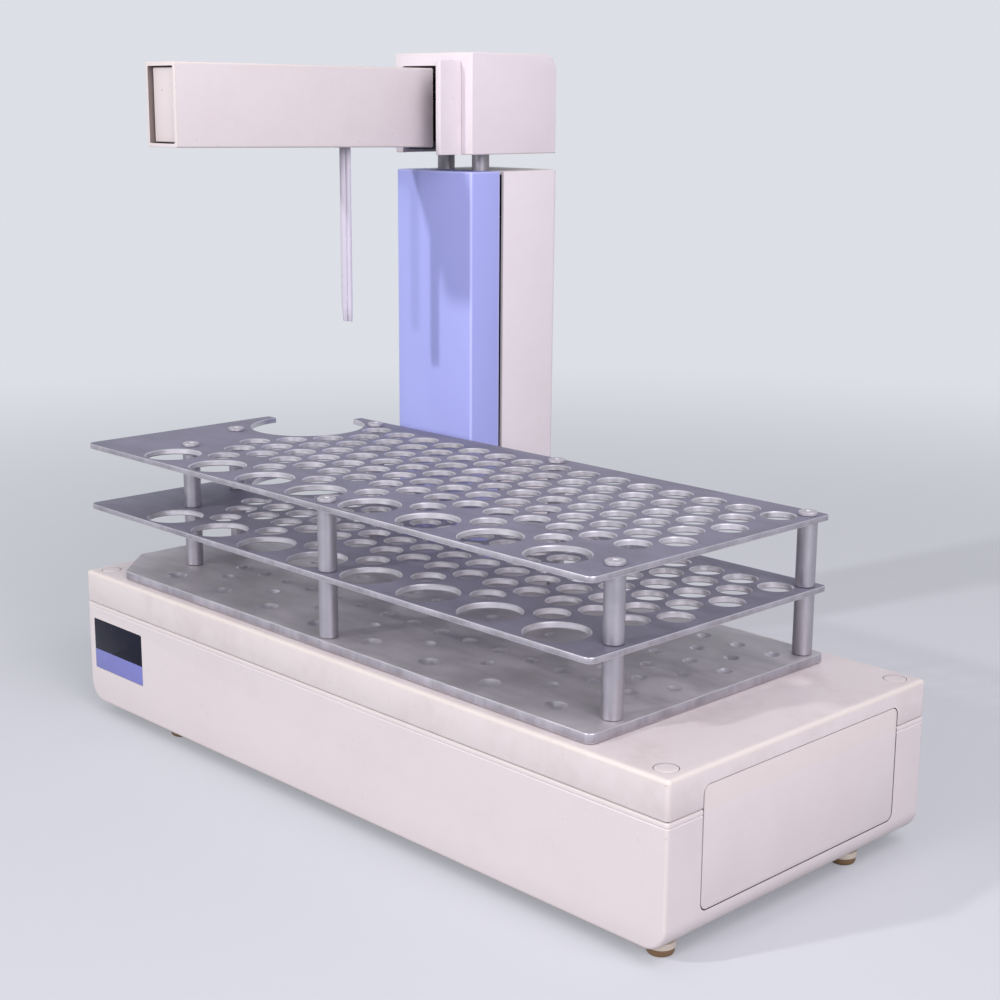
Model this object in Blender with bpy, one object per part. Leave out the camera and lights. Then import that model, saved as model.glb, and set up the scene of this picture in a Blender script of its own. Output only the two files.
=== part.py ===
"""Laboratory autosampler: a perforated tube tray on a flat base, served by an arm on a lift tower.

Metres, +Z up. X runs along the base, the front faces -Y, the tower stands behind the base at +Y.
The origin is at the bottom centre of the whole object.
"""

from math import atan2, cos, pi, radians, sin, sqrt

import bmesh
import bpy

for old in list(bpy.data.objects):
    bpy.data.objects.remove(old, do_unlink=True)

# General gaps: between touching pieces, round a moving piece, and a cut's overrun
fit_gap = 0.0003
run_gap = 0.0005
overrun = 0.004

# Base casing
base_length = 0.550
base_depth = 0.2317
shell_height = 0.0735
shell_wall = 0.004
end_wall = 0.007
end_radius = 0.015
cover_height = 0.0224
cover_wall = 0.004
cover_edge_radius = 0.003
seam_gap = 0.0005
seam_chamfer = 0.0012

# Feet
foot_height = 0.008
foot_radius = 0.0083
foot_tread_radius = 0.0070
foot_tread_height = 0.0018
foot_stem_radius = 0.0030
foot_stem_grip = 0.0010
foot_inset = 0.0165
foot_inset_left = 0.091
foot_inset_rear = 0.052

# Plugs in the cover's corners
plug_radius = 0.00695
plug_thickness = 0.0026
plug_inset = 0.013
boss_wall = 0.003

# Panel on the right end
panel_width = 0.1745
panel_bottom = 0.0165
panel_top = 0.086
panel_thickness = 0.0024
panel_radius = 0.0045
panel_ledge = 0.010

# Plate on the front
badge_left = 0.008
badge_width = 0.0607
badge_bottom = 0.0255
badge_height = 0.0365
badge_thickness = 0.0012

# Connectors in a recess of the left end
recess_depth = 0.0042
recess_width = 0.150
recess_bottom = 0.018
recess_height = 0.042
recess_radius = 0.004
inlet_from_front = 0.072
inlet_flange = 0.060
inlet_flange_height = 0.028
flange_thickness = 0.0022
inlet_body_depth = 0.024
inlet_margin = 0.003
socket_width = 0.0242
socket_height = 0.0162
socket_depth = 0.016
socket_corner = 0.004
pin_width = 0.004
pin_thickness = 0.002
pin_length = 0.013
pin_spacing = 0.007
rocker_width = 0.0128
rocker_height = 0.0205
rocker_depth = 0.0075
rocker_rise = 0.0012
rocker_pivot_depth = 0.003
rocker_tilt_degrees = 8.0
serial_from_front = 0.140
serial_flange = 0.031
serial_flange_height = 0.0125
serial_width = 0.0174
serial_height = 0.0086
serial_slope = 0.0012
serial_rim = 0.0009
serial_hole_depth = 0.005
serial_body_depth = 0.011

# Drive along X, inside the base
rail_from_rear = 0.01885
rail_width = 0.014
rail_height = 0.014
rail_groove = 0.0025
rail_end_inset = 0.020
rail_bottom = 0.022
rail_foot_length = 0.014
rail_foot_width = 0.020
carriage_length = 0.050
carriage_wall = 0.006
carriage_top_wall = 0.010
carriage_arm_width = 0.040
carriage_arm_height = 0.022
clamp_width = 0.024
clamp_height = 0.006
x_belt_from_rear = 0.05785
x_belt_level = 0.054
x_belt_width = 0.006
x_belt_thickness = 0.0014
x_pulley_radius = 0.008
x_pulley_flange = 0.0012
x_pulley_flange_thickness = 0.0010
x_motor_inset = 0.0405
x_idler_inset = 0.029
x_axle_radius = 0.0025
x_idler_boss_radius = 0.006
motor_side = 0.042
motor_height = 0.034
motor_corner = 0.004
motor_boss_radius = 0.011
motor_boss_height = 0.002
motor_bore_depth = 0.014

# Travel of the tower, from its place at rest
x_travel_low = 0.044
x_travel_high = 0.374

# Tower
tower_from_left = 0.11195
tower_gap = 0.0042
column_depth = 0.0874
column_bottom = 0.030
column_top = 0.385
column_wall = 0.0025
column_front_depth = 0.0286
column_gap = 0.003
column_front_radius = 0.0025
column_rear_radius = 0.006
column_notch = 0.004
frame_side_gap = 0.004
frame_wall = 0.003
frame_front = 0.005
frame_rear = 0.070
frame_bottom = 0.036
frame_floor = 0.004
guide_height = 0.030
guide_side_gap = 0.003
guide_front = 0.014

# Lift
rod_radius = 0.00635
rod_spacing = 0.0374
rod_side_space = 0.02205
column_width = rod_spacing + 2 * rod_side_space
rod_from_front = 0.0301
rod_gap = 0.0008
screw_radius = 0.004
screw_journal_radius = 0.003
screw_from_front = 0.055
nut_level = 0.180
nut_height = 0.025
nut_margin = 0.004
z_motor_height = 0.040

# Head
head_level = 0.3972
head_overhang = 0.00075
head_width = column_width + 2 * head_overhang
head_depth = 0.0856
head_height = 0.0712
head_wall = 0.0025
head_rear_radius = 0.012
mouth_left = 0.0083
mouth_right = 0.0161
mouth_top = 0.0622
cheek_thickness = 0.0045
cheek_reach = 0.0199
cheek_height = 0.0653
cheek_radius = 0.0035
cheek_root = 0.060
head_plate_level = 0.0025
head_plate_thickness = 0.006
head_plate_front = 0.008
head_plate_gap = 0.003
saddle_front = 0.012
saddle_width = 0.011
bracket_thickness = 0.003
bracket_front = 0.018
bracket_length = 0.044

# Arm
arm_left_of_tower = 0.01465
arm_width = 0.0334
arm_root_bottom = 0.0045
arm_root_top = 0.0604
arm_tip_bottom = 0.0072
arm_tip_top = 0.0611
arm_root_gap = 0.0015
arm_tip_reach = 0.2219
arm_wall = 0.0025
arm_radius = 0.003
arm_slot_width = 0.013
arm_slot_rear = 0.042
end_block_recess = 0.003
end_block_thickness = 0.004
end_block_left_gap = 0.0035
end_block_gap = 0.0008
y_rail_left = 0.009
y_rail_width = 0.010
y_rail_height = 0.014
y_rail_level = 0.040
y_rail_rear = 0.060
y_belt_left = 0.005
y_belt_width = 0.0054
y_belt_thickness = 0.0012
y_pulley_radius = 0.005
y_pulley_flange_thickness = 0.0006
y_pulley_level = 0.050
y_idler_from_tip = 0.0169
y_motor_from_front = 0.0375
y_motor_side = 0.035
y_motor_length = 0.020
y_axle_radius = 0.002
y_bore_depth = 0.008

# Probe
probe_from_front = 0.0712
slider_front = 0.004
slider_length = 0.030
slider_wall = 0.0025
slider_below_rail = 0.006
slider_above = 0.0078
slider_clamp_front = 0.012
slider_clamp_length = 0.010
slider_clamp_height = 0.006
neck_width = 0.008
neck_length = 0.008
holder_inside = 0.0012
barrel_radius = 0.0034
barrel_length = 0.1125
barrel_tip_length = 0.0098
barrel_tip_radius = 0.0020
side_barrel_radius = 0.0018
side_barrel_offset = 0.0044
side_barrel_tip_radius = 0.0015

# Tray
tray_right = 0.215
tray_rear = 0.0964
tray_lift_gap = 0.0005
tray_plate_radius = 0.005
tray_rear_radius = 0.002
base_plate_left_inset = 0.0089
base_plate_front_inset = 0.0013
base_plate_thickness = 0.006
base_plate_chamfer_x = 0.0325
base_plate_chamfer_y = 0.0337
plate_thickness = 0.0039
lower_space = 0.0383
upper_space = 0.0399
bite_radius = 0.042
bite_from_left = 0.0519
bite_y = 0.046
strip_end_from_left = 0.0544
strip_end_y = 0.048

# Holes of the tray
hole_pitch = 0.0263
hole_radius = 0.01025
hole_from_right = 0.0185
hole_from_rear = 0.0255
hole_from_left = 0.0759
large_hole_radius = 0.01875
large_row_step = 0.0234
large_hole_from_front = 0.02134
dimple_radius = 0.006
dimple_depth = 0.0021
large_dimple_radius = 0.0075
large_dimple_depth = 0.0025
row_hole_counts = (15, 14, 15, 15, 16, 15)
sparse_columns = range(2, 15, 2)
large_columns = range(1, 16, 2)

# Posts and their screws
post_radius = 0.006
post_neck_radius = 0.0054
post_foot_radius = 0.004
post_foot_length = 0.004
post_bore_depth = 0.013
post_screw_radius = 0.0025
post_screw_length = 0.010
screw_head_radius = 0.0056
screw_head_height = 0.0028
screw_head_chamfer = 0.0005
screw_socket_radius = 0.0022
screw_socket_depth = 0.0016
post_near_from_right = 0.0095
post_near_from_front = 0.0285
post_front_column = 8
post_front_from_front = 0.009
post_left_from_left = 0.0589
post_left_from_front = 0.0475
post_bite_from_left = 0.0319
post_bite_from_rear = 0.1014
post_rear_left_from_left = 0.0869
post_rear_left_from_rear = 0.0134
post_rear_column = 7.5
post_rear_from_rear = 0.0104
post_rear_right_from_right = 0.0078
post_rear_right_from_rear = 0.0108

# Facet counts
corner_steps = 3
end_steps = 5
round_sides = 12
small_sides = 8
top_hole_sides = 8
middle_hole_sides = 6
dimple_sides = 5
bite_steps = 16
belt_steps = 5

# Levels and places that follow
shell_top = foot_height + shell_height
cover_bottom = shell_top + seam_gap
cover_top = cover_bottom + cover_height
overall_depth = base_depth + tower_gap + column_depth
base_y = (base_depth - overall_depth) / 2
tower_x = tower_from_left - base_length / 2
tower_y = base_depth - overall_depth / 2 + tower_gap


def material(name, colour, roughness, metallic):
    """A Principled material of one colour."""
    made = bpy.data.materials.new(name)
    made.use_nodes = True
    shader = made.node_tree.nodes["Principled BSDF"]
    shader.inputs["Base Color"].default_value = (*colour, 1)
    shader.inputs["Roughness"].default_value = roughness
    shader.inputs["Metallic"].default_value = metallic
    made.diffuse_color = (*colour, 1)
    return made


casing_grey = material("casing_grey", (0.78, 0.74, 0.73), 0.55, 0)
column_blue = material("column_blue", (0.42, 0.46, 0.85), 0.50, 0)
badge_violet = material("badge_violet", (0.33, 0.33, 0.66), 0.50, 0)
tray_metal = material("tray_metal", (0.36, 0.36, 0.40), 0.42, 1)
post_metal = material("post_metal", (0.55, 0.55, 0.58), 0.30, 1)
rod_steel = material("rod_steel", (0.45, 0.45, 0.46), 0.25, 1)
frame_dark = material("frame_dark", (0.10, 0.10, 0.11), 0.55, 0)
motor_dark = material("motor_dark", (0.05, 0.05, 0.055), 0.45, 0)
belt_rubber = material("belt_rubber", (0.02, 0.02, 0.02), 0.85, 0)
foot_rubber = material("foot_rubber", (0.36, 0.20, 0.07), 0.70, 0)
probe_white = material("probe_white", (0.85, 0.84, 0.86), 0.40, 0)
connector_black = material("connector_black", (0.02, 0.02, 0.022), 0.50, 0)


def empty(name, place, parent=None):
    """An empty that carries the pieces of one body, at that body's own origin."""
    made = bpy.data.objects.new(name, None)
    bpy.context.scene.collection.objects.link(made)
    made.parent = parent
    made.location = place
    return made


base_body = empty("base_body", (0, base_y, 0))
tray_body = empty("tray_body", (0, 0, cover_top), base_body)
tower_body = empty("tower_body", (tower_x, tower_y, 0))
head_body = empty("head_body", (0, 0, head_level), tower_body)
arm_body = empty("arm_body", (-arm_left_of_tower, 0, arm_root_bottom), head_body)
probe_body = empty("probe_body", (0, -probe_from_front, 0), arm_body)


def link(name, bm, look, parent, place=(0, 0, 0)):
    """Turns a bmesh into an object with outward faces, under the body that carries it."""
    bmesh.ops.recalc_face_normals(bm, faces=bm.faces)
    mesh = bpy.data.meshes.new(name)
    bm.to_mesh(mesh)
    bm.free()
    mesh.shade_smooth()
    mesh.set_sharp_from_angle(angle=radians(35))
    if look:
        mesh.materials.append(look)
    made = bpy.data.objects.new(name, mesh)
    bpy.context.scene.collection.objects.link(made)
    made.parent = parent
    made.location = place
    return made


def boolean(target, bm, name, operation):
    """Cuts the bmesh from the target, or joins it on, as a modifier with a hidden tool."""
    tool = link(name, bm, None, target.parent, target.location)
    tool.hide_render = True
    tool.display_type = "WIRE"
    modifier = target.modifiers.new(name, "BOOLEAN")
    modifier.operation = operation
    modifier.solver = "EXACT"
    modifier.object = tool


def cut(target, bm, name):
    """Takes the bmesh away from the target."""
    boolean(target, bm, name, "DIFFERENCE")


def join(target, bm, name):
    """Adds the bmesh to the target."""
    boolean(target, bm, name, "UNION")


def arc(centre, radius, start, end, steps):
    """Points along an arc, both ends included, angles in radians."""
    turns = [start + (end - start) * step / steps for step in range(steps + 1)]
    return [(centre[0] + radius * cos(turn), centre[1] + radius * sin(turn)) for turn in turns]


def rounded(low, high, radii, steps=corner_steps):
    """A rectangle with rounded corners, radii in the order low-low, high-low, high-high, low-high."""
    corners = (
        (low[0], low[1], 1, 1),
        (high[0], low[1], -1, 1),
        (high[0], high[1], -1, -1),
        (low[0], high[1], 1, -1),
    )
    outline = []
    for index, (u, v, inward_u, inward_v) in enumerate(corners):
        radius = radii[index]
        if not radius:
            outline.append((u, v))
            continue
        start = pi + index * pi / 2
        outline += arc((u + inward_u * radius, v + inward_v * radius), radius, start, start + pi / 2, steps)
    return outline


def rectangle(low, high):
    """The four corners of a rectangle."""
    return rounded(low, high, (0, 0, 0, 0))


def spot(u, v, w, axis):
    """The point at u, v on the outline's plane and w along the axis."""
    return {"X": (w, u, v), "Y": (u, w, v), "Z": (u, v, w)}[axis]


def add_loft(bm, sections, axis="Z"):
    """A closed solid through outlines of as many points each, given as (outline, place along the axis)."""
    rings = [[bm.verts.new(spot(u, v, w, axis)) for u, v in outline] for outline, w in sections]
    for ring, following in zip(rings, rings[1:]):
        for index in range(len(ring)):
            after = (index + 1) % len(ring)
            bm.faces.new((ring[index], ring[after], following[after], following[index]))
    bm.faces.new(rings[0][::-1])
    bm.faces.new(rings[-1])


def add_prism(bm, outline, low, high, axis="Z"):
    """An outline drawn out along the axis."""
    add_loft(bm, [(outline, low), (outline, high)], axis)


def add_box(bm, low, high):
    """A box between two corners."""
    add_prism(bm, rectangle(low[:2], high[:2]), low[2], high[2])


def circle(centre, radius, sides):
    """The corners of a regular polygon, with a flat side across the first axis."""
    turns = [pi * (2 * index + 1) / sides for index in range(sides)]
    return [(centre[0] + radius * cos(turn), centre[1] + radius * sin(turn)) for turn in turns]


def add_turned(bm, profile, sides, centre=(0, 0), axis="Z"):
    """A turned solid from (radius, place along the axis) pairs; a radius of 0 closes an end in a point."""
    rings = []
    for radius, w in profile:
        places = circle(centre, radius, sides) if radius else [centre]
        rings.append([bm.verts.new(spot(u, v, w, axis)) for u, v in places])
    for ring, following in zip(rings, rings[1:]):
        for index in range(sides):
            after = (index + 1) % sides
            corners = [ring[index % len(ring)], ring[after % len(ring)]]
            corners += [following[after % len(following)], following[index % len(following)]]
            bm.faces.new(list(dict.fromkeys(corners)))
    for ring in (rings[0], rings[-1]):
        if len(ring) > 1:
            bm.faces.new(ring)


def add_ring(bm, profile, sides, centre=(0, 0), axis="Z"):
    """A turned ring with a bore, from a closed profile of (radius, place along the axis) pairs."""
    rings = []
    for radius, w in profile:
        places = circle(centre, radius, sides)
        rings.append([bm.verts.new(spot(u, v, w, axis)) for u, v in places])
    for ring, following in zip(rings, rings[1:] + rings[:1]):
        for index in range(sides):
            after = (index + 1) % sides
            bm.faces.new((ring[index], ring[after], following[after], following[index]))


def racetrack(first, second, radius, steps):
    """Two half circles round two centres on a line along the first axis, joined by straight runs."""
    near = arc(first, radius, pi / 2, 3 * pi / 2, steps)
    far = arc(second, radius, -pi / 2, pi / 2, steps)
    return near + far


def belt_inside(pulley_radius):
    """The inner radius of a belt's bends, whose flats clear the turning pulley."""
    return (pulley_radius + fit_gap) / cos(pi / 2 / belt_steps)


def add_belt(bm, first, second, pulley_radius, thickness, low, high, axis):
    """A closed belt round two pulleys."""
    radius = belt_inside(pulley_radius)
    inner = racetrack(first, second, radius, belt_steps)
    outer = racetrack(first, second, radius + thickness, belt_steps)
    corners = ((inner, low), (outer, low), (outer, high), (inner, high))
    rings = [[bm.verts.new(spot(u, v, w, axis)) for u, v in outline] for outline, w in corners]
    for ring, following in zip(rings, rings[1:] + rings[:1]):
        for index in range(len(ring)):
            after = (index + 1) % len(ring)
            bm.faces.new((ring[index], ring[after], following[after], following[index]))


def octagon(centre, side, corner):
    """A square with its corners cut off, as a motor's body."""
    u, v = centre
    half = side / 2
    near = half - corner
    points = ((-near, -half), (near, -half), (half, -near), (half, near))
    points += ((near, half), (-near, half), (-half, near), (-half, -near))
    return [(u + du, v + dv) for du, dv in points]


# Base casing
half_length = base_length / 2
half_depth = base_depth / 2
shell_floor = foot_height + shell_wall
slot_low = tower_x - x_travel_low - carriage_arm_width / 2 - overrun
slot_high = tower_x + x_travel_high + carriage_arm_width / 2 + overrun
rail_y = half_depth - rail_from_rear
rail_z = foot_height + rail_bottom
carriage_bottom = rail_z + rail_groove
carriage_top = rail_z + rail_height + carriage_top_wall
carriage_arm_low = carriage_top - carriage_arm_height
x_belt_y = half_depth - x_belt_from_rear
x_belt_z = foot_height + x_belt_level
x_idler_x = half_length - x_idler_inset
x_motor_x = x_motor_inset - half_length
panel_low = (-panel_width / 2, foot_height + panel_bottom)
panel_high = (panel_width / 2, foot_height + panel_top)
foot_places = {
    "front_right": (half_length - foot_inset, foot_inset - half_depth),
    "rear_right": (half_length - foot_inset, half_depth - foot_inset_rear),
    "front_left": (foot_inset_left - half_length, foot_inset - half_depth),
    "rear_left": (foot_inset_left - half_length, half_depth - foot_inset_rear),
}
plug_places = {
    "front_left": (plug_inset - half_length, plug_inset - half_depth),
    "front_right": (half_length - plug_inset, plug_inset - half_depth),
    "rear_right": (half_length - plug_inset, half_depth - plug_inset),
    "rear_left": (plug_inset - half_length, half_depth - plug_inset),
}
recess_front = inlet_from_front - inlet_flange / 2 - inlet_margin - half_depth
recess_rear = recess_front + recess_width
recess_low = foot_height + recess_bottom
recess_high = recess_low + recess_height
connector_z = (recess_low + recess_high) / 2
connector_face = recess_depth - half_length
inlet_y = inlet_from_front - half_depth
serial_y = serial_from_front - half_depth


def panel_outline(gap):
    """The access panel's outline, grown by a gap."""
    low = (panel_low[0] - gap, panel_low[1] - gap)
    high = (panel_high[0] + gap, panel_high[1] + gap)
    return rounded(low, high, [panel_radius + gap] * 4)


def add_panel_pocket(bm):
    """The seat of the access panel in the right end."""
    depth = panel_thickness + fit_gap
    add_prism(bm, panel_outline(run_gap), half_length - depth, half_length + overrun, "X")


def make_lower_shell():
    radii = (end_radius, end_radius, 0, 0)
    outline = rounded((-half_length, foot_height), (half_length, shell_top), radii, end_steps)
    bm = bmesh.new()
    add_prism(bm, outline, -half_depth, half_depth, "Y")
    shell = link("lower_shell", bm, casing_grey, base_body)
    inner = end_radius - shell_wall
    low = (end_wall - half_length, shell_floor)
    high = (half_length - end_wall, shell_top + overrun)
    bm = bmesh.new()
    hollow = rounded(low, high, (inner, inner, 0, 0), end_steps)
    add_prism(bm, hollow, shell_wall - half_depth, half_depth - shell_wall, "Y")
    cut(shell, bm, "shell_hollow")
    bm = bmesh.new()
    add_turned(bm, idler_post_profile(), small_sides, (x_idler_x, x_belt_y))
    join(shell, bm, "idler_post")
    bm = bmesh.new()
    slot_bottom = carriage_arm_low - run_gap - fit_gap
    slot_top = carriage_top + run_gap + fit_gap
    inside = half_depth - shell_wall - overrun
    add_box(bm, (slot_low, inside, slot_bottom), (slot_high, half_depth + overrun, slot_top))
    add_panel_pocket(bm)
    badge_low = (badge_left - half_length - fit_gap, foot_height + badge_bottom - fit_gap)
    badge_high = (badge_low[0] + badge_width + 2 * fit_gap, badge_low[1] + badge_height + 2 * fit_gap)
    badge_seat = badge_thickness + fit_gap - half_depth
    corner = (badge_high[0], badge_seat, badge_high[1])
    add_box(bm, (badge_low[0], -half_depth - overrun, badge_low[1]), corner)
    for place in foot_places.values():
        hole = foot_stem_radius + fit_gap
        add_prism(bm, circle(place, hole, small_sides), foot_height - overrun, shell_floor + overrun / 4)
    recess = rounded((recess_front, recess_low), (recess_rear, recess_high), [recess_radius] * 4)
    add_prism(bm, recess, -half_length - overrun, connector_face, "X")
    cut(shell, bm, "shell_cuts")
    bm = bmesh.new()
    reach = inlet_flange / 2 - inlet_margin + fit_gap
    rise = inlet_flange_height / 2 - inlet_margin + fit_gap
    through = end_wall - half_length + overrun
    start = connector_face - overrun / 4
    add_box(bm, (start, inlet_y - reach, connector_z - rise), (through, inlet_y + reach, connector_z + rise))
    across = serial_width / 2 + fit_gap
    tall = serial_height / 2 + fit_gap
    low = (start, serial_y - across, connector_z - tall)
    add_box(bm, low, (through, serial_y + across, connector_z + tall))
    ledge_low = (panel_low[0] + panel_ledge, panel_low[1] + panel_ledge)
    ledge_high = (panel_high[0] - panel_ledge, shell_top - panel_ledge)
    inward = half_length - end_wall - overrun
    outward = half_length - panel_thickness
    add_prism(bm, rectangle(ledge_low, ledge_high), inward, outward, "X")
    cut(shell, bm, "end_openings")


def idler_post_profile():
    """The post that carries the idler's pin, from its root in the shell's floor to the pin's end."""
    pin = x_axle_radius - run_gap
    pulley_bottom = x_belt_z - x_pulley_flange_thickness - fit_gap
    pin_end = x_belt_z + x_belt_width + 3 * x_pulley_flange_thickness
    root = shell_floor - shell_wall / 2
    boss = x_idler_boss_radius
    return ((boss, root), (boss, pulley_bottom), (pin, pulley_bottom), (pin, pin_end))


def cover_outline(inset):
    """The cover's outline seen from above, drawn in by an inset."""
    low = (inset - half_length, inset - half_depth)
    high = (half_length - inset, half_depth - inset)
    return rounded(low, high, [cover_edge_radius] * 4, 2)


def make_top_cover():
    edge = cover_edge_radius
    shoulder = edge * (1 - cos(pi / 4))
    sections = [
        (cover_outline(seam_chamfer), cover_bottom),
        (cover_outline(0), cover_bottom + seam_chamfer),
        (cover_outline(0), cover_top - edge),
        (cover_outline(shoulder), cover_top - shoulder),
        (cover_outline(edge), cover_top),
    ]
    bm = bmesh.new()
    add_loft(bm, sections)
    cover = link("top_cover", bm, casing_grey, base_body)
    ceiling = cover_top - cover_wall
    bm = bmesh.new()
    low = (end_wall - half_length, cover_wall - half_depth, cover_bottom - overrun)
    add_box(bm, low, (-low[0], -low[1], ceiling))
    cut(cover, bm, "cover_hollow")
    bm = bmesh.new()
    for place in plug_places.values():
        boss = plug_radius + boss_wall
        add_prism(bm, circle(place, boss, small_sides), cover_bottom, ceiling + cover_wall / 2)
    join(cover, bm, "cover_bosses")
    bm = bmesh.new()
    seat = cover_top - plug_thickness - fit_gap
    for place in plug_places.values():
        add_prism(bm, circle(place, plug_radius + fit_gap, round_sides), seat, cover_top + overrun)
    add_panel_pocket(bm)
    cut(cover, bm, "cover_cuts")


def make_access_panel():
    bm = bmesh.new()
    add_prism(bm, panel_outline(0), half_length - panel_thickness, half_length, "X")
    link("access_panel", bm, casing_grey, base_body)


def make_badge_plate():
    left = badge_left - half_length
    bottom = foot_height + badge_bottom
    bm = bmesh.new()
    high = (left + badge_width, badge_thickness - half_depth, bottom + badge_height)
    add_box(bm, (left, -half_depth, bottom), high)
    link("badge_plate", bm, badge_violet, base_body)


def make_feet():
    top = foot_height - fit_gap
    tip = shell_floor + foot_stem_grip
    profile = ((foot_tread_radius, 0), (foot_radius, foot_tread_height), (foot_radius, top))
    profile += ((foot_stem_radius, top), (foot_stem_radius, tip))
    for name, place in foot_places.items():
        bm = bmesh.new()
        add_turned(bm, profile, round_sides)
        link("foot_" + name, bm, foot_rubber, base_body, (*place, 0))


def make_corner_plugs():
    edge = plug_thickness / 4
    profile = ((plug_radius, -plug_thickness), (plug_radius, -edge), (plug_radius - edge, 0))
    for name, place in plug_places.items():
        bm = bmesh.new()
        add_turned(bm, profile, round_sides)
        link("corner_plug_" + name, bm, casing_grey, base_body, (*place, cover_top))


def make_power_inlet():
    face = connector_face - fit_gap
    front = face - flange_thickness
    body_end = face + inlet_body_depth
    half = inlet_flange / 2
    rise = inlet_flange_height / 2
    corner = (inlet_y + half, connector_z + rise)
    flange = rounded((inlet_y - half, connector_z - rise), corner, [inlet_margin] * 4)
    bm = bmesh.new()
    add_prism(bm, flange, front, face, "X")
    inlet = link("power_inlet", bm, connector_black, base_body)
    reach = half - inlet_margin
    tall = rise - inlet_margin
    bm = bmesh.new()
    low = (face - flange_thickness / 2, inlet_y - reach, connector_z - tall)
    add_box(bm, low, (body_end, inlet_y + reach, connector_z + tall))
    join(inlet, bm, "inlet_body")
    socket_y = inlet_y - reach / 2 + inlet_margin / 2
    u, v = socket_y, connector_z
    across = socket_width / 2
    up = socket_height / 2
    outline = [(u - across, v - up), (u + across, v - up), (u + across, v + up - socket_corner)]
    outline += [(u + across - socket_corner, v + up), (u - across + socket_corner, v + up)]
    outline += [(u - across, v + up - socket_corner)]
    bm = bmesh.new()
    add_prism(bm, outline, front - overrun, front + socket_depth, "X")
    well = rocker_width / 2 + run_gap
    well_height = rocker_height / 2 + rocker_depth * sin(radians(rocker_tilt_degrees)) + run_gap
    well_y = rocker_y()
    well_end = front + rocker_depth + 2 * flange_thickness
    add_box(bm, (front - overrun, well_y - well, v - well_height), (well_end, well_y + well, v + well_height))
    cut(inlet, bm, "inlet_cuts")
    bm = bmesh.new()
    for side, lift in ((-1, -1), (0, 1), (1, -1)):
        pin_y = u + side * pin_spacing
        pin_z = v + lift * pin_width / 2
        low = (front + socket_depth - pin_length, pin_y - pin_thickness / 2, pin_z - pin_width / 2)
        pin_root = front + socket_depth + pin_thickness
        add_box(bm, low, (pin_root, pin_y + pin_thickness / 2, pin_z + pin_width / 2))
    join(inlet, bm, "inlet_pins")


def rocker_y():
    """The rocker's middle: the rear half of the inlet's frame."""
    return inlet_y + inlet_flange / 2 - 2 * inlet_margin - rocker_width / 2


def make_power_switch():
    pivot = connector_face - fit_gap - flange_thickness + rocker_pivot_depth + rocker_rise
    half = rocker_height / 2
    face = -rocker_pivot_depth
    back = rocker_depth - rocker_pivot_depth
    outline = [(face - rocker_rise, -half), (face, 0), (face - rocker_rise, half)]
    outline += [(back, half / 2), (back, -half / 2)]
    bm = bmesh.new()
    add_prism(bm, outline, -rocker_width / 2, rocker_width / 2, "Y")
    rocker = link("power_switch", bm, connector_black, base_body, (pivot, rocker_y(), connector_z))
    rocker.rotation_euler.y = radians(rocker_tilt_degrees)


def make_serial_port():
    face = connector_face - fit_gap
    front = face - serial_rim
    half = serial_flange / 2
    tall = serial_flange_height / 2
    corner = (serial_y + half, connector_z + tall)
    flange = rounded((serial_y - half, connector_z - tall), corner, [tall / 4] * 4, 1)
    bm = bmesh.new()
    add_prism(bm, flange, front, face, "X")
    port = link("serial_port", bm, post_metal, base_body)
    across = serial_width / 2
    up = serial_height / 2
    bm = bmesh.new()
    low = (face - serial_rim / 2, serial_y - across, connector_z - up)
    add_box(bm, low, (face + serial_body_depth, serial_y + across, connector_z + up))
    join(port, bm, "port_body")
    u, v = across - serial_rim, up - serial_rim
    outline = [(-u + serial_slope, -v), (u - serial_slope, -v), (u, v), (-u, v)]
    outline = [(serial_y + du, connector_z + dv) for du, dv in outline]
    bm = bmesh.new()
    add_prism(bm, outline, front - overrun, front + serial_hole_depth, "X")
    cut(port, bm, "port_hole")


def rail_outline():
    """The X rail's section, with a groove along each side."""
    low_y = rail_y - rail_width / 2
    high_y = rail_y + rail_width / 2
    top = rail_z + rail_height
    low_groove = rail_z + rail_height / 2 - rail_groove
    high_groove = low_groove + 2 * rail_groove
    left = [(low_y, top), (low_y, high_groove), (low_y + rail_groove, high_groove)]
    left += [(low_y + rail_groove, low_groove), (low_y, low_groove), (low_y, rail_z)]
    right = [(high_y, rail_z), (high_y, low_groove), (high_y - rail_groove, low_groove)]
    right += [(high_y - rail_groove, high_groove), (high_y, high_groove), (high_y, top)]
    return left + right


def make_x_rail():
    end = half_length - rail_end_inset
    bm = bmesh.new()
    add_prism(bm, rail_outline(), -end, end, "X")
    rail = link("x_rail", bm, rod_steel, base_body)
    bm = bmesh.new()
    half = rail_foot_width / 2
    for start in (-end, end - rail_foot_length):
        low = (start, rail_y - half, shell_floor + fit_gap)
        add_box(bm, low, (start + rail_foot_length, rail_y + half, rail_z + rail_groove / 2))
    join(rail, bm, "rail_feet")


def make_x_motor():
    bottom = shell_floor + fit_gap
    top = bottom + motor_height
    centre = (x_motor_x, x_belt_y)
    bm = bmesh.new()
    add_prism(bm, octagon(centre, motor_side, motor_corner), bottom, top)
    motor = link("x_motor", bm, motor_dark, base_body)
    bm = bmesh.new()
    boss = circle(centre, motor_boss_radius, round_sides)
    add_prism(bm, boss, top - motor_boss_height, top + motor_boss_height)
    join(motor, bm, "x_motor_boss")
    bm = bmesh.new()
    bore = circle(centre, x_axle_radius + run_gap, small_sides)
    add_prism(bm, bore, top - motor_bore_depth, top + overrun)
    cut(motor, bm, "x_motor_bore")


def pulley_profile(radius, flange, low, high, cheek):
    """A flanged pulley's outer profile along its axis, from its low cheek to its high one."""
    rim = radius + flange
    return [(rim, low - cheek), (rim, low), (radius, low), (radius, high), (rim, high), (rim, high + cheek)]


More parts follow.
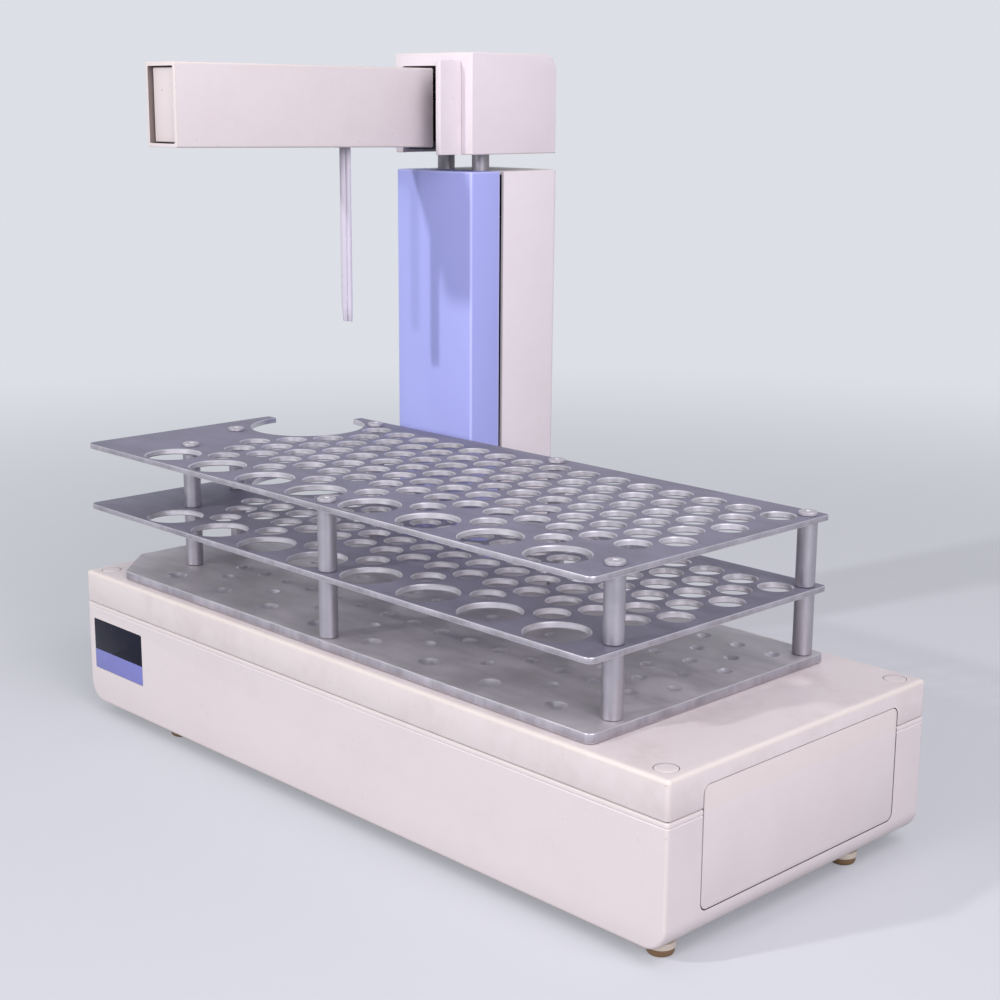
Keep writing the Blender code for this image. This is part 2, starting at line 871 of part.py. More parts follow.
def make_x_pulleys():
    high = x_belt_width + fit_gap
    cheek = x_pulley_flange_thickness - fit_gap
    profile = pulley_profile(x_pulley_radius, x_pulley_flange, -fit_gap, high, cheek)
    motor_top = shell_floor + fit_gap + motor_height
    shaft_end = motor_top - motor_bore_depth + fit_gap - x_belt_z
    bm = bmesh.new()
    shaft = [(x_axle_radius, shaft_end), (x_axle_radius, profile[0][1])]
    add_turned(bm, shaft + profile, round_sides)
    link("x_motor_pulley", bm, post_metal, base_body, (x_motor_x, x_belt_y, x_belt_z))
    bm = bmesh.new()
    bore = [(x_axle_radius, profile[-1][1]), (x_axle_radius, profile[0][1])]
    add_ring(bm, profile + bore, round_sides)
    link("x_idler_pulley", bm, post_metal, base_body, (x_idler_x, x_belt_y, x_belt_z))


def make_x_belt():
    bm = bmesh.new()
    first = (x_motor_x, x_belt_y)
    second = (x_idler_x, x_belt_y)
    top = x_belt_z + x_belt_width
    add_belt(bm, first, second, x_pulley_radius, x_belt_thickness, x_belt_z, top, "Z")
    link("x_belt", bm, belt_rubber, base_body)


# Tower: its pieces are placed from the middle of the column's front face, on the floor
half_column = column_width / 2
rear_cover_front = column_front_depth + column_gap
frame_half = half_column - column_wall - frame_side_gap
column_ceiling = column_top - column_wall
guide_top = column_ceiling - fit_gap
guide_bottom = guide_top - guide_height
frame_top = guide_bottom - fit_gap
rod_places = {"left": (-rod_spacing / 2, rod_from_front), "right": (rod_spacing / 2, rod_from_front)}
screw_place = (0, screw_from_front)
rail_from_column = tower_gap + rail_from_rear


def make_x_carriage():
    low_y = -rail_from_column - rail_width / 2
    high_y = -rail_from_column + rail_width / 2
    gap = run_gap
    outline = [
        (low_y - gap - carriage_wall, carriage_bottom),
        (low_y - gap, carriage_bottom),
        (low_y - gap, rail_z + rail_height + gap),
        (high_y + gap, rail_z + rail_height + gap),
        (high_y + gap, carriage_bottom),
        (high_y + gap + carriage_wall, carriage_bottom),
        (high_y + gap + carriage_wall, carriage_top),
        (low_y - gap - carriage_wall, carriage_top),
    ]
    bm = bmesh.new()
    add_prism(bm, outline, -carriage_length / 2, carriage_length / 2, "X")
    carriage = link("x_carriage", bm, frame_dark, tower_body)
    half = carriage_arm_width / 2
    bm = bmesh.new()
    arm_start = high_y + gap + carriage_wall / 2
    add_box(bm, (-half, arm_start, carriage_arm_low), (half, frame_front - fit_gap, carriage_top))
    belt_outside = belt_inside(x_pulley_radius) + x_belt_thickness + fit_gap - tower_gap - x_belt_from_rear
    clamp = clamp_width / 2
    clamp_low = carriage_top - clamp_height
    clamp_high = x_belt_z + x_belt_width
    add_box(bm, (-clamp, belt_outside, clamp_low), (clamp, low_y - gap - carriage_wall / 2, clamp_high))
    join(carriage, bm, "carriage_arm")


def rod_notches(bm, low, high):
    """Round holes for the two lift rods."""
    for place in rod_places.values():
        add_prism(bm, circle(place, rod_radius + rod_gap, round_sides), low, high)


def make_column_front_cover():
    radius = column_front_radius
    outline = rounded((-half_column, 0), (half_column, column_front_depth), (radius, radius, 0, 0))
    bm = bmesh.new()
    add_prism(bm, outline, column_bottom, column_top)
    cover = link("column_front_cover", bm, column_blue, tower_body)
    bm = bmesh.new()
    side = half_column - column_wall
    low = (-side, column_wall, column_bottom - overrun)
    add_box(bm, low, (side, column_front_depth + overrun, column_ceiling))
    cut(cover, bm, "front_cover_hollow")
    bm = bmesh.new()
    rod_notches(bm, column_ceiling - overrun, column_top + overrun)
    half = carriage_arm_width / 2 + run_gap
    window_low = carriage_arm_low - run_gap
    window_high = carriage_top + run_gap
    add_box(bm, (-half, -overrun, window_low), (half, column_wall + overrun / 4, window_high))
    cut(cover, bm, "front_cover_cuts")
    bm = bmesh.new()
    corner = column_front_depth - column_notch
    wedge = [(corner, column_top + fit_gap), (column_front_depth + fit_gap, column_top - column_notch)]
    wedge += [(column_front_depth + overrun, column_top + overrun)]
    add_prism(bm, wedge, -half_column - overrun, half_column + overrun, "X")
    cut(cover, bm, "front_cover_corner")


def make_column_rear_cover():
    radius = column_rear_radius
    outline = rounded((-half_column, rear_cover_front), (half_column, column_depth), (0, 0, radius, radius))
    bm = bmesh.new()
    add_prism(bm, outline, column_bottom, column_top)
    cover = link("column_rear_cover", bm, casing_grey, tower_body)
    bm = bmesh.new()
    side = half_column - column_wall
    inner = radius - column_wall
    low = (-side, rear_cover_front - overrun)
    hollow = rounded(low, (side, column_depth - column_wall), (0, 0, inner, inner))
    add_prism(bm, hollow, column_bottom - overrun, column_ceiling)
    cut(cover, bm, "rear_cover_hollow")
    bm = bmesh.new()
    rod_notches(bm, column_ceiling - overrun, column_top + overrun)
    cut(cover, bm, "rear_cover_cuts")


def make_column_frame():
    bm = bmesh.new()
    add_box(bm, (-frame_half, frame_front, frame_bottom), (frame_half, frame_rear, frame_top))
    frame = link("column_frame", bm, frame_dark, tower_body)
    side = frame_half - frame_wall
    floor = frame_bottom + frame_floor
    bm = bmesh.new()
    add_box(bm, (-side, frame_front + frame_wall, floor), (side, frame_rear + overrun, frame_top + overrun))
    cut(frame, bm, "frame_hollow")


def make_guide_block():
    side = frame_half - guide_side_gap
    rear = frame_rear
    bm = bmesh.new()
    add_box(bm, (-side, guide_front, guide_bottom), (side, rear, guide_top))
    block = link("guide_block", bm, frame_dark, tower_body)
    bm = bmesh.new()
    for place in rod_places.values():
        bore = circle(place, rod_radius + run_gap, round_sides)
        add_prism(bm, bore, guide_bottom - overrun, guide_top + overrun)
    hole = circle(screw_place, screw_journal_radius + run_gap, small_sides)
    add_prism(bm, hole, guide_bottom - overrun, guide_top + overrun)
    cut(block, bm, "guide_holes")


def make_z_motor():
    bottom = frame_bottom + frame_floor + fit_gap
    top = bottom + z_motor_height
    bm = bmesh.new()
    add_prism(bm, octagon(screw_place, motor_side, motor_corner), bottom, top)
    motor = link("z_motor", bm, motor_dark, tower_body)
    bm = bmesh.new()
    boss = circle(screw_place, motor_boss_radius, round_sides)
    add_prism(bm, boss, top - motor_boss_height, top + motor_boss_height)
    join(motor, bm, "z_motor_boss")
    bm = bmesh.new()
    bore = circle(screw_place, screw_journal_radius + run_gap, small_sides)
    add_prism(bm, bore, top - motor_bore_depth, top + overrun)
    cut(motor, bm, "z_motor_bore")


def make_z_screw():
    motor_top = frame_bottom + frame_floor + fit_gap + z_motor_height
    start = motor_top - motor_bore_depth + fit_gap
    shoulder = motor_top + motor_boss_height + run_gap
    top = guide_bottom - run_gap
    journal = screw_journal_radius
    profile = [(journal, start), (journal, shoulder), (screw_radius, shoulder), (screw_radius, top)]
    profile += [(journal, top), (journal, guide_bottom + guide_height / 2)]
    bm = bmesh.new()
    add_turned(bm, profile, small_sides)
    link("z_screw", bm, rod_steel, tower_body, (*screw_place, 0))


# Head: its pieces are placed from the middle of the column's front face, at the head's bottom
half_head = head_width / 2
cheek_left = half_head - mouth_right + fit_gap
head_ceiling = head_height - head_wall
plate_top = head_plate_level + head_plate_thickness


def make_head_cover():
    outline = rounded((0, 0), (head_depth, head_height), (0, 0, head_rear_radius, 0), end_steps)
    bm = bmesh.new()
    add_prism(bm, outline, -half_head, half_head, "X")
    cover = link("head_cover", bm, casing_grey, head_body)
    inner = head_rear_radius - head_wall
    corner = (head_depth - head_wall, head_ceiling)
    hollow = rounded((head_wall, -overrun), corner, (0, 0, inner, 0), end_steps)
    bm = bmesh.new()
    add_prism(bm, hollow, head_wall - half_head, half_head - head_wall, "X")
    cut(cover, bm, "head_hollow")
    left = mouth_left - half_head
    right = cheek_left - fit_gap
    slot_right = cheek_left + cheek_thickness + fit_gap
    slot_top = cheek_height + fit_gap
    mouth = [(left, -overrun), (slot_right, -overrun), (slot_right, slot_top), (right, slot_top)]
    mouth += [(right, mouth_top), (left, mouth_top)]
    bm = bmesh.new()
    add_prism(bm, mouth, -overrun, head_wall + overrun / 4, "Y")
    cut(cover, bm, "head_mouth")


def make_head_frame():
    side = half_head - head_wall - head_plate_gap
    rear = head_depth - head_wall - head_plate_gap
    bm = bmesh.new()
    add_box(bm, (-side, head_plate_front, head_plate_level), (cheek_left - fit_gap, rear, plate_top))
    frame = link("head_frame", bm, frame_dark, head_body)
    rail_middle = -arm_left_of_tower - y_rail_left + y_rail_width / 2
    half = saddle_width / 2
    bm = bmesh.new()
    saddle_top = y_rail_level - fit_gap
    root = plate_top - head_plate_thickness / 2
    add_box(bm, (rail_middle - half, saddle_front, root), (rail_middle + half, rear, saddle_top))
    bracket_left = y_motor_left() - bracket_thickness
    bracket_rear = bracket_front + bracket_length
    bracket_right = y_motor_left() - fit_gap
    add_box(bm, (bracket_left, bracket_front, root), (bracket_right, bracket_rear, head_ceiling - run_gap))
    join(frame, bm, "head_frame_walls")
    bm = bmesh.new()
    for place in rod_places.values():
        seat = circle(place, rod_radius + fit_gap, round_sides)
        add_prism(bm, seat, -overrun, plate_top - screw_journal_radius / 2)
    hole = circle((y_motor_from_front, y_pulley_level), y_axle_radius + run_gap, small_sides)
    add_prism(bm, hole, bracket_left - overrun / 4, bracket_right + overrun / 4, "X")
    cut(frame, bm, "head_frame_holes")


def y_motor_left():
    """The mounting face of the Y motor, just right of the belt."""
    belt_side = y_belt_left + y_belt_width - arm_left_of_tower
    return belt_side + y_pulley_flange_thickness + run_gap + bracket_thickness


def make_arm_cheek():
    low = (-cheek_reach, 0)
    high = (cheek_root, cheek_height)
    bm = bmesh.new()
    add_prism(bm, rounded(low, high, (0, 0, 0, cheek_radius)), cheek_left, cheek_left + cheek_thickness, "X")
    link("arm_cheek", bm, casing_grey, head_body)


def make_lift_rods():
    bottom = nut_level - head_level + fit_gap
    top = plate_top - screw_journal_radius / 2 - fit_gap
    for name, place in rod_places.items():
        bm = bmesh.new()
        add_turned(bm, ((rod_radius, bottom), (rod_radius, top)), round_sides)
        link("lift_rod_" + name, bm, rod_steel, head_body, (*place, 0))


def make_lift_nut():
    bottom = nut_level - head_level
    top = bottom + nut_height
    side = rod_spacing / 2 + rod_radius + nut_margin
    front = rod_from_front - rod_radius - nut_margin
    rear = screw_from_front + screw_radius + nut_margin
    bm = bmesh.new()
    add_box(bm, (-side, front, bottom), (side, rear, top))
    nut = link("lift_nut", bm, frame_dark, head_body)
    bm = bmesh.new()
    for place in rod_places.values():
        add_prism(bm, circle(place, rod_radius + fit_gap, round_sides), bottom - overrun, top + overrun)
    add_prism(bm, circle(screw_place, screw_radius + run_gap, small_sides), bottom - overrun, top + overrun)
    cut(nut, bm, "nut_holes")


# Arm: its pieces are placed from the middle of its underside, at the column's front face
arm_root_y = -arm_root_gap
arm_tip_y = -arm_tip_reach
rail_tip_y = arm_tip_y + end_block_recess + end_block_thickness + fit_gap
rail_low = y_rail_level - arm_root_bottom
rail_high = rail_low + y_rail_height
pulley_z = y_pulley_level - arm_root_bottom
y_idler_y = arm_tip_y + y_idler_from_tip
probe_slot_front = arm_tip_y + end_block_recess + end_block_thickness


def arm_section(inset, low, high):
    """The arm's section between two levels, drawn in by an inset."""
    half = arm_width / 2 - inset
    radius = max(arm_radius - inset, arm_wall / 5)
    return rounded((-half, low + inset), (half, high - inset), [radius] * 4, 2)


def make_arm_housing():
    tip_low = arm_tip_bottom - arm_root_bottom
    tip_high = arm_tip_top - arm_root_bottom
    root_high = arm_root_top - arm_root_bottom
    slope_low = tip_low / (arm_root_y - arm_tip_y)
    slope_high = (tip_high - root_high) / (arm_root_y - arm_tip_y)
    bm = bmesh.new()
    tip, root = arm_section(0, tip_low, tip_high), arm_section(0, 0, root_high)
    add_loft(bm, [(tip, arm_tip_y), (root, arm_root_y)], "Y")
    housing = link("arm_housing", bm, casing_grey, arm_body)
    tip = arm_section(arm_wall, tip_low + slope_low * overrun, tip_high + slope_high * overrun)
    root = arm_section(arm_wall, -slope_low * overrun, root_high - slope_high * overrun)
    bm = bmesh.new()
    add_loft(bm, [(tip, arm_tip_y - overrun), (root, arm_root_y + overrun)], "Y")
    cut(housing, bm, "arm_hollow")
    half = arm_slot_width / 2
    bm = bmesh.new()
    add_box(bm, (-half, probe_slot_front, -overrun), (half, -arm_slot_rear, tip_low + arm_wall + overrun / 2))
    cut(housing, bm, "arm_slot")


def make_arm_end_block():
    gap = arm_wall + end_block_gap
    left = arm_wall + end_block_left_gap - arm_width / 2
    right = arm_width / 2 - gap
    low = arm_tip_bottom - arm_root_bottom + gap
    high = arm_tip_top - arm_root_bottom - gap
    front = arm_tip_y + end_block_recess
    radius = end_block_gap
    bm = bmesh.new()
    outline = rounded((left, low), (right, high), [radius] * 4, 1)
    add_prism(bm, outline, front, front + end_block_thickness, "Y")
    link("arm_end_block", bm, casing_grey, arm_body)


def make_y_rail():
    left = -y_rail_left
    right = left + y_rail_width
    bm = bmesh.new()
    add_box(bm, (left, rail_tip_y, rail_low), (right, y_rail_rear, rail_high))
    rail = link("y_rail", bm, rod_steel, arm_body)
    pin_end = y_belt_left + y_belt_width + y_pulley_flange_thickness + run_gap
    bm = bmesh.new()
    pin = y_axle_radius - run_gap / 2
    pin_middle = (y_idler_y, pulley_z)
    add_prism(bm, circle(pin_middle, pin, small_sides), right - y_rail_width / 2, pin_end, "X")
    join(rail, bm, "idler_pin")


def make_y_motor():
    left = y_motor_left() + arm_left_of_tower
    half = y_motor_side / 2
    centre = (y_motor_from_front, pulley_z)
    bm = bmesh.new()
    add_prism(bm, octagon(centre, y_motor_side, half / 4), left, left + y_motor_length, "X")
    motor = link("y_motor", bm, motor_dark, arm_body)
    bm = bmesh.new()
    bore = circle(centre, y_axle_radius + run_gap, small_sides)
    add_prism(bm, bore, left - overrun, left + y_bore_depth, "X")
    cut(motor, bm, "y_motor_bore")


def make_y_pulleys():
    cheek = y_pulley_flange_thickness - fit_gap
    rise = y_belt_thickness / 2
    profile = pulley_profile(y_pulley_radius, rise, -fit_gap, y_belt_width + fit_gap, cheek)
    shaft_end = y_motor_left() + arm_left_of_tower + y_bore_depth - fit_gap - y_belt_left
    shaft = [(y_axle_radius, profile[-1][1]), (y_axle_radius, shaft_end)]
    bm = bmesh.new()
    add_turned(bm, profile + shaft, round_sides, axis="X")
    link("y_motor_pulley", bm, post_metal, arm_body, (y_belt_left, y_motor_from_front, pulley_z))
    bore = [(y_axle_radius, profile[-1][1]), (y_axle_radius, profile[0][1])]
    bm = bmesh.new()
    add_ring(bm, profile + bore, round_sides, axis="X")
    link("y_idler_pulley", bm, post_metal, arm_body, (y_belt_left, y_idler_y, pulley_z))


def make_y_belt():
    first = (y_idler_y, pulley_z)
    second = (y_motor_from_front, pulley_z)
    right = y_belt_left + y_belt_width
    bm = bmesh.new()
    add_belt(bm, first, second, y_pulley_radius, y_belt_thickness, y_belt_left, right, "X")
    link("y_belt", bm, belt_rubber, arm_body)


# Probe: its pieces are placed from the probe's axis, at the level of the arm's underside
slider_bottom = rail_low - slider_below_rail
slider_rear = slider_length - slider_front


def make_probe_carriage():
    left = -y_rail_left - run_gap
    right = y_rail_width - y_rail_left + run_gap
    top = rail_low + slider_above
    shelf = rail_low - run_gap
    outline = [
        (left - slider_wall, slider_bottom),
        (right + slider_wall, slider_bottom),
        (right + slider_wall, top),
        (right, top),
        (right, shelf),
        (left, shelf),
        (left, top),
        (left - slider_wall, top),
    ]
    bm = bmesh.new()
    add_prism(bm, outline, -slider_front, slider_rear, "Y")
    slider = link("probe_carriage", bm, frame_dark, probe_body)
    belt_bottom = pulley_z - belt_inside(y_pulley_radius) - y_belt_thickness - fit_gap
    clamp_right = y_belt_left + y_belt_width
    clamp_rear = slider_clamp_front + slider_clamp_length
    half = neck_length / 2
    bm = bmesh.new()
    low = (right + slider_wall / 2, slider_clamp_front, belt_bottom - slider_clamp_height)
    add_box(bm, low, (clamp_right, clamp_rear, belt_bottom))
    neck = neck_width / 2
    add_box(bm, (-neck, -half, holder_inside + fit_gap), (neck, half, slider_bottom + slider_wall / 2))
    join(slider, bm, "slider_neck")


def make_probe_holder():
    top = holder_inside
    shoulder = -barrel_length
    tip = shoulder - barrel_tip_length
    bm = bmesh.new()
    profile = ((barrel_radius, top), (barrel_radius, shoulder), (barrel_tip_radius, tip))
    add_turned(bm, profile, round_sides)
    holder = link("probe_holder", bm, probe_white, probe_body)
    bm = bmesh.new()
    side = side_barrel_radius
    profile = ((side, top - fit_gap), (side, shoulder), (side_barrel_tip_radius, tip))
    add_turned(bm, profile, small_sides, (side_barrel_offset, 0))
    join(holder, bm, "side_barrel")


# Tray: its pieces are placed from the base's middle, at the level of the cover's top
base_plate_top = tray_lift_gap + base_plate_thickness
middle_plate_low = base_plate_top + lower_space
middle_plate_high = middle_plate_low + plate_thickness
top_plate_low = middle_plate_high + upper_space
top_plate_high = top_plate_low + plate_thickness
row_step = hole_pitch * sqrt(3) / 2
first_hole_x = tray_right - hole_from_right
first_hole_y = tray_rear - hole_from_rear
sparse_row_y = first_hole_y - len(row_hole_counts) * row_step
large_row_y = sparse_row_y - large_row_step
tray_left = (max(row_hole_counts) - 1) * hole_pitch + hole_from_left - first_hole_x
tray_front = large_hole_from_front - large_row_y
base_plate_left = tray_left - base_plate_left_inset
base_plate_front = tray_front - base_plate_front_inset
bite_x = tray_left - bite_from_left
strip_end_x = tray_left - strip_end_from_left
post_places = (
    (tray_right - post_near_from_right, post_near_from_front - tray_front),
    (first_hole_x - post_front_column * hole_pitch, post_front_from_front - tray_front),
    (post_left_from_left - tray_left, post_left_from_front - tray_front),
    (post_bite_from_left - tray_left, tray_rear - post_bite_from_rear),
    (post_rear_left_from_left - tray_left, tray_rear - post_rear_left_from_rear),
    (first_hole_x - post_rear_column * hole_pitch, tray_rear - post_rear_from_rear),
    (tray_right - post_rear_right_from_right, tray_rear - post_rear_right_from_rear),
)


def tube_places():
    """The middles of the small holes in their staggered rows, and of the large ones along the front."""
    small = []
    for row, count in enumerate(row_hole_counts):
        start = first_hole_x - hole_pitch / 2 * (row % 2)
        y = first_hole_y - row * row_step
        small += [(start - column * hole_pitch, y) for column in range(count)]
    small += [(first_hole_x - column * hole_pitch, sparse_row_y) for column in sparse_columns]
    large = [(first_hole_x - column * hole_pitch, large_row_y) for column in large_columns]
    return small, large


def perforated_outline():
    """The perforated plates seen from above, with the bite at the rear left."""
    radius = tray_plate_radius
    outline = arc((radius - tray_left, radius - tray_front), radius, pi, 3 * pi / 2, 2)
    outline += arc((tray_right - radius, radius - tray_front), radius, 3 * pi / 2, 2 * pi, 2)
    radius = tray_rear_radius
    outline += arc((tray_right - radius, tray_rear - radius), radius, 0, pi / 2, 2)
    rise = sqrt(bite_radius**2 - (bite_x - strip_end_x) ** 2)
    run = sqrt(bite_radius**2 - (strip_end_y - bite_y) ** 2)
    outline.append((-strip_end_x, tray_rear))
    start = atan2(rise, bite_x - strip_end_x)
    end = atan2(strip_end_y - bite_y, -run) - 2 * pi
    outline += arc((-bite_x, bite_y), bite_radius, start, end, bite_steps)
    outline.append((-tray_left, strip_end_y))
    return outline


def make_perforated_plate(name, low, post_hole, hole_sides):
    high = low + plate_thickness
    bm = bmesh.new()
    add_prism(bm, perforated_outline(), low, high)
    plate = link(name, bm, tray_metal, tray_body)
    small, large = tube_places()
    bm = bmesh.new()
    for place in small:
        add_prism(bm, circle(place, hole_radius, hole_sides), low - overrun, high + overrun)
    for place in large:
        add_prism(bm, circle(place, large_hole_radius, round_sides), low - overrun, high + overrun)
    for place in post_places:
        add_prism(bm, circle(place, post_hole, small_sides), low - overrun, high + overrun)
    cut(plate, bm, name + "_holes")


def make_tray_base_plate():
    radius = tray_plate_radius
    outline = [(-base_plate_left, base_plate_chamfer_y - base_plate_front)]
    outline += [(base_plate_chamfer_x - base_plate_left, -base_plate_front)]
    outline += arc((tray_right - radius, radius - base_plate_front), radius, 3 * pi / 2, 2 * pi, 2)
    outline += [(tray_right, tray_rear), (-base_plate_left, tray_rear)]
    bm = bmesh.new()
    add_prism(bm, outline, tray_lift_gap, base_plate_top)
    plate = link("tray_base_plate", bm, tray_metal, tray_body)
    small, large = tube_places()
    bm = bmesh.new()
    add_dimples(bm, small, dimple_radius, dimple_depth)
    add_dimples(bm, large, large_dimple_radius, large_dimple_depth)
    for place in post_places:
        seat = base_plate_top - post_foot_length - fit_gap
        add_prism(bm, circle(place, post_foot_radius + fit_gap, small_sides), seat, base_plate_top + overrun)
    cut(plate, bm, "dimples")


def add_dimples(bm, places, radius, depth):
    """Conical cuts that reach down into the base plate and stand out above it."""
    bottom = base_plate_top - depth
    above = overrun / 4
    mouth = radius * (depth + above) / depth
    for place in places:
        add_turned(bm, ((0, bottom), (mouth, base_plate_top + above)), dimple_sides, place)


def make_posts():
    foot = base_plate_top - post_foot_length
    shoulder = middle_plate_low - fit_gap
    top = top_plate_low - fit_gap
    bore = post_screw_radius + fit_gap
    profile = [(post_foot_radius, foot), (post_foot_radius, base_plate_top + fit_gap)]
    profile += [(post_radius, base_plate_top + fit_gap)]
    profile += [(post_radius, shoulder), (post_neck_radius, shoulder)]
    profile += [(post_neck_radius, top), (bore, top), (bore, top - post_bore_depth)]
    for number, place in enumerate(post_places, 1):
        bm = bmesh.new()
        add_turned(bm, profile, small_sides)
        link(f"tray_post_{number}", bm, post_metal, tray_body, (*place, 0))


def make_post_screws():
    seat = top_plate_high + fit_gap
    head = seat + screw_head_height
    end = top_plate_low - post_screw_length
    profile = [(post_screw_radius, end), (post_screw_radius, seat), (screw_head_radius, seat)]
    profile += [(screw_head_radius, head - screw_head_chamfer)]
    profile += [(screw_head_radius - screw_head_chamfer, head)]
    profile += [(screw_socket_radius, head), (screw_socket_radius, head - screw_socket_depth)]
    for number, place in enumerate(post_places, 1):
        bm = bmesh.new()
        add_turned(bm, profile, small_sides)
        link(f"post_screw_{number}", bm, rod_steel, tray_body, (*place, 0))


make_lower_shell()
make_top_cover()
make_access_panel()
make_badge_plate()
make_feet()
make_corner_plugs()
make_power_inlet()
make_power_switch()
make_serial_port()
make_x_rail()
make_x_motor()
make_x_pulleys()
make_x_belt()
make_x_carriage()
make_column_front_cover()
make_column_rear_cover()
make_column_frame()
make_guide_block()
make_z_motor()
make_z_screw()
make_head_cover()
make_head_frame()
make_arm_cheek()
make_lift_rods()
make_lift_nut()
make_arm_housing()
make_arm_end_block()
make_y_rail()
make_y_motor()
make_y_pulleys()
make_y_belt()
make_probe_carriage()
make_probe_holder()
make_tray_base_plate()
make_perforated_plate("tray_middle_plate", middle_plate_low, post_neck_radius + run_gap, middle_hole_sides)
make_perforated_plate("tray_top_plate", top_plate_low, post_screw_radius + run_gap, top_hole_sides)
make_posts()
make_post_screws()
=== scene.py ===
# %% [markdown]
# # A laboratory autosampler
#
# The real object stands on a laboratory bench. A flat base carries a tray for sample tubes, made of a
# dimpled plate and two perforated plates on posts. A tower behind the base runs sideways, its head rises
# on two rods, and a probe slides along an arm, so that the probe can reach every tube.
#
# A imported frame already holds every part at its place. This lesson dresses that frame: the visible
# pieces are modelled again with fine edges, and everything gets a material made of nodes.

from math import cos, pi, radians, sin, sqrt

import bmesh
import bpy
from mathutils import Matrix, Vector


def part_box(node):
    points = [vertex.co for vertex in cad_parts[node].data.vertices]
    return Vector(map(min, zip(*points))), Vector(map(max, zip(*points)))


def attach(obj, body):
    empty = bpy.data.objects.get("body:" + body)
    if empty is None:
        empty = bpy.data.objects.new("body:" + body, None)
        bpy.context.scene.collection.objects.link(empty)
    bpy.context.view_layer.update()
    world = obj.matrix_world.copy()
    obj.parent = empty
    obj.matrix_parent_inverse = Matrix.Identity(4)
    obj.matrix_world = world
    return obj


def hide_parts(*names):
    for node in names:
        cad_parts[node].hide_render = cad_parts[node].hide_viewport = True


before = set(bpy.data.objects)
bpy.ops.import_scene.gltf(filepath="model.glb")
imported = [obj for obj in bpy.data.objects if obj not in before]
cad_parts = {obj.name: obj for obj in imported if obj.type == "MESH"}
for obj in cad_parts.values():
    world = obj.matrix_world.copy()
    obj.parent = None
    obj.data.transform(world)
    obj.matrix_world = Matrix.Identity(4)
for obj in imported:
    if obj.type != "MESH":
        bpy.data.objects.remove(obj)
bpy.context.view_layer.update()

# %% [markdown]
# ## Sizes
#
# All lengths are in metres. X runs along the base, the front faces minus Y, and Z is up. The sizes are
# those of the frame, so that each new piece fits exactly over the solid that it stands for. They could be
# read from each solid's box, but named values show how the pieces depend on each other.

# %% Sizes of the base and the tower
X, Y, Z = 0, 1, 2
base_end = 0.275
base_front, base_rear = -0.16165, 0.07005
base_middle = (base_front + base_rear) / 2
shell_bottom, shell_top = 0.008, 0.0815
cover_bottom, cover_top = 0.082, 0.1044
side_wall, end_wall = 0.004, 0.007
tower_x = -0.16305
column_left, column_right = tower_x - 0.04075, tower_x + 0.04075
column_front, column_bottom, column_top = 0.07425, 0.030, 0.385
split_front, split_rear, column_rear = 0.10285, 0.10585, 0.16165
half_head, head_rear, head_bottom, head_top = 0.0415, 0.15985, 0.3972, 0.4684
arm_x, arm_half, arm_tip, arm_root = -0.1777, 0.0167, -0.14765, 0.07275
probe_y = 0.00305
print("base", 2 * base_end, "long and", round(base_rear - base_front, 4), "deep")

# %% [markdown]
# ## Tools for modelling
#
# A modeller adds a primitive, goes into edit mode, picks edges or faces, and bevels, extrudes or moves
# them. These helpers do the same in code. The picking goes by place, because an index says nothing about
# what it belongs to and changes with every edit.

# %% Blocks, picking and bevels
TOUCH = 0.00001


def deselect():
    """Leaves edit mode and deselects everything, because an operator acts on all that is selected."""
    if bpy.context.mode != "OBJECT":
        bpy.ops.object.mode_set(mode="OBJECT")
    bpy.ops.object.select_all(action="DESELECT")


def only(piece):
    """Makes one object the selected and active one."""
    deselect()
    piece.select_set(True)
    bpy.context.view_layer.objects.active = piece


def settle(name):
    """Names the new primitive, moves its place into its mesh, and opens it in edit mode."""
    piece = bpy.context.object
    piece.name = piece.data.name = name
    bpy.ops.object.transform_apply(location=True, rotation=True, scale=True)
    bpy.ops.object.mode_set(mode="EDIT")
    return piece


def block(name, low, high):
    """A cube that fills the space between two corners."""
    deselect()
    middle = [(a + b) / 2 for a, b in zip(low, high)]
    size = [b - a for a, b in zip(low, high)]
    bpy.ops.mesh.primitive_cube_add(size=1, location=middle, scale=size)
    return settle(name)


def pick(kind, rule):
    """Selects the verts, edges or faces that pass the rule, and nothing else."""
    bpy.ops.mesh.select_mode(type=kind[:-1].upper())
    bpy.ops.mesh.select_all(action="DESELECT")
    mesh = bpy.context.object.data
    drawn = bmesh.from_edit_mesh(mesh)
    chosen = [part for part in getattr(drawn, kind) if rule(part)]
    for part in chosen:
        part.select_set(True)
    drawn.select_flush_mode()
    bmesh.update_edit_mesh(mesh)
    if not chosen:
        raise ValueError(f"nothing to pick among the {kind} of {bpy.context.object.name}")


def at(part, axis, level):
    """True where a whole edge or face lies at one level of an axis."""
    return all(abs(vert.co[axis] - level) < TOUCH for vert in part.verts)


def along(edge, axis):
    """True for an edge that runs along an axis."""
    span = edge.verts[0].co - edge.verts[1].co
    return all(abs(span[other]) < TOUCH for other in (X, Y, Z) if other != axis)


def running(axis, *places):
    """The rule for edges along one axis that lie at all the given places, as (axis, level)."""
    return lambda edge: along(edge, axis) and all(at(edge, *place) for place in places)


def lying(*places):
    """The rule for edges that lie at one of the given places, as (axis, level)."""
    return lambda edge: any(at(edge, *place) for place in places)


def bevel(rule, width, steps=3):
    """Rounds the edges that pass the rule."""
    pick("edges", rule)
    bpy.ops.mesh.bevel(offset=width, offset_type="OFFSET", segments=steps, affect="EDGES")


def sharp(edge, least=radians(40)):
    """True for an edge between two faces that meet at more than a slight angle."""
    return len(edge.link_faces) == 2 and edge.calc_face_angle() > least


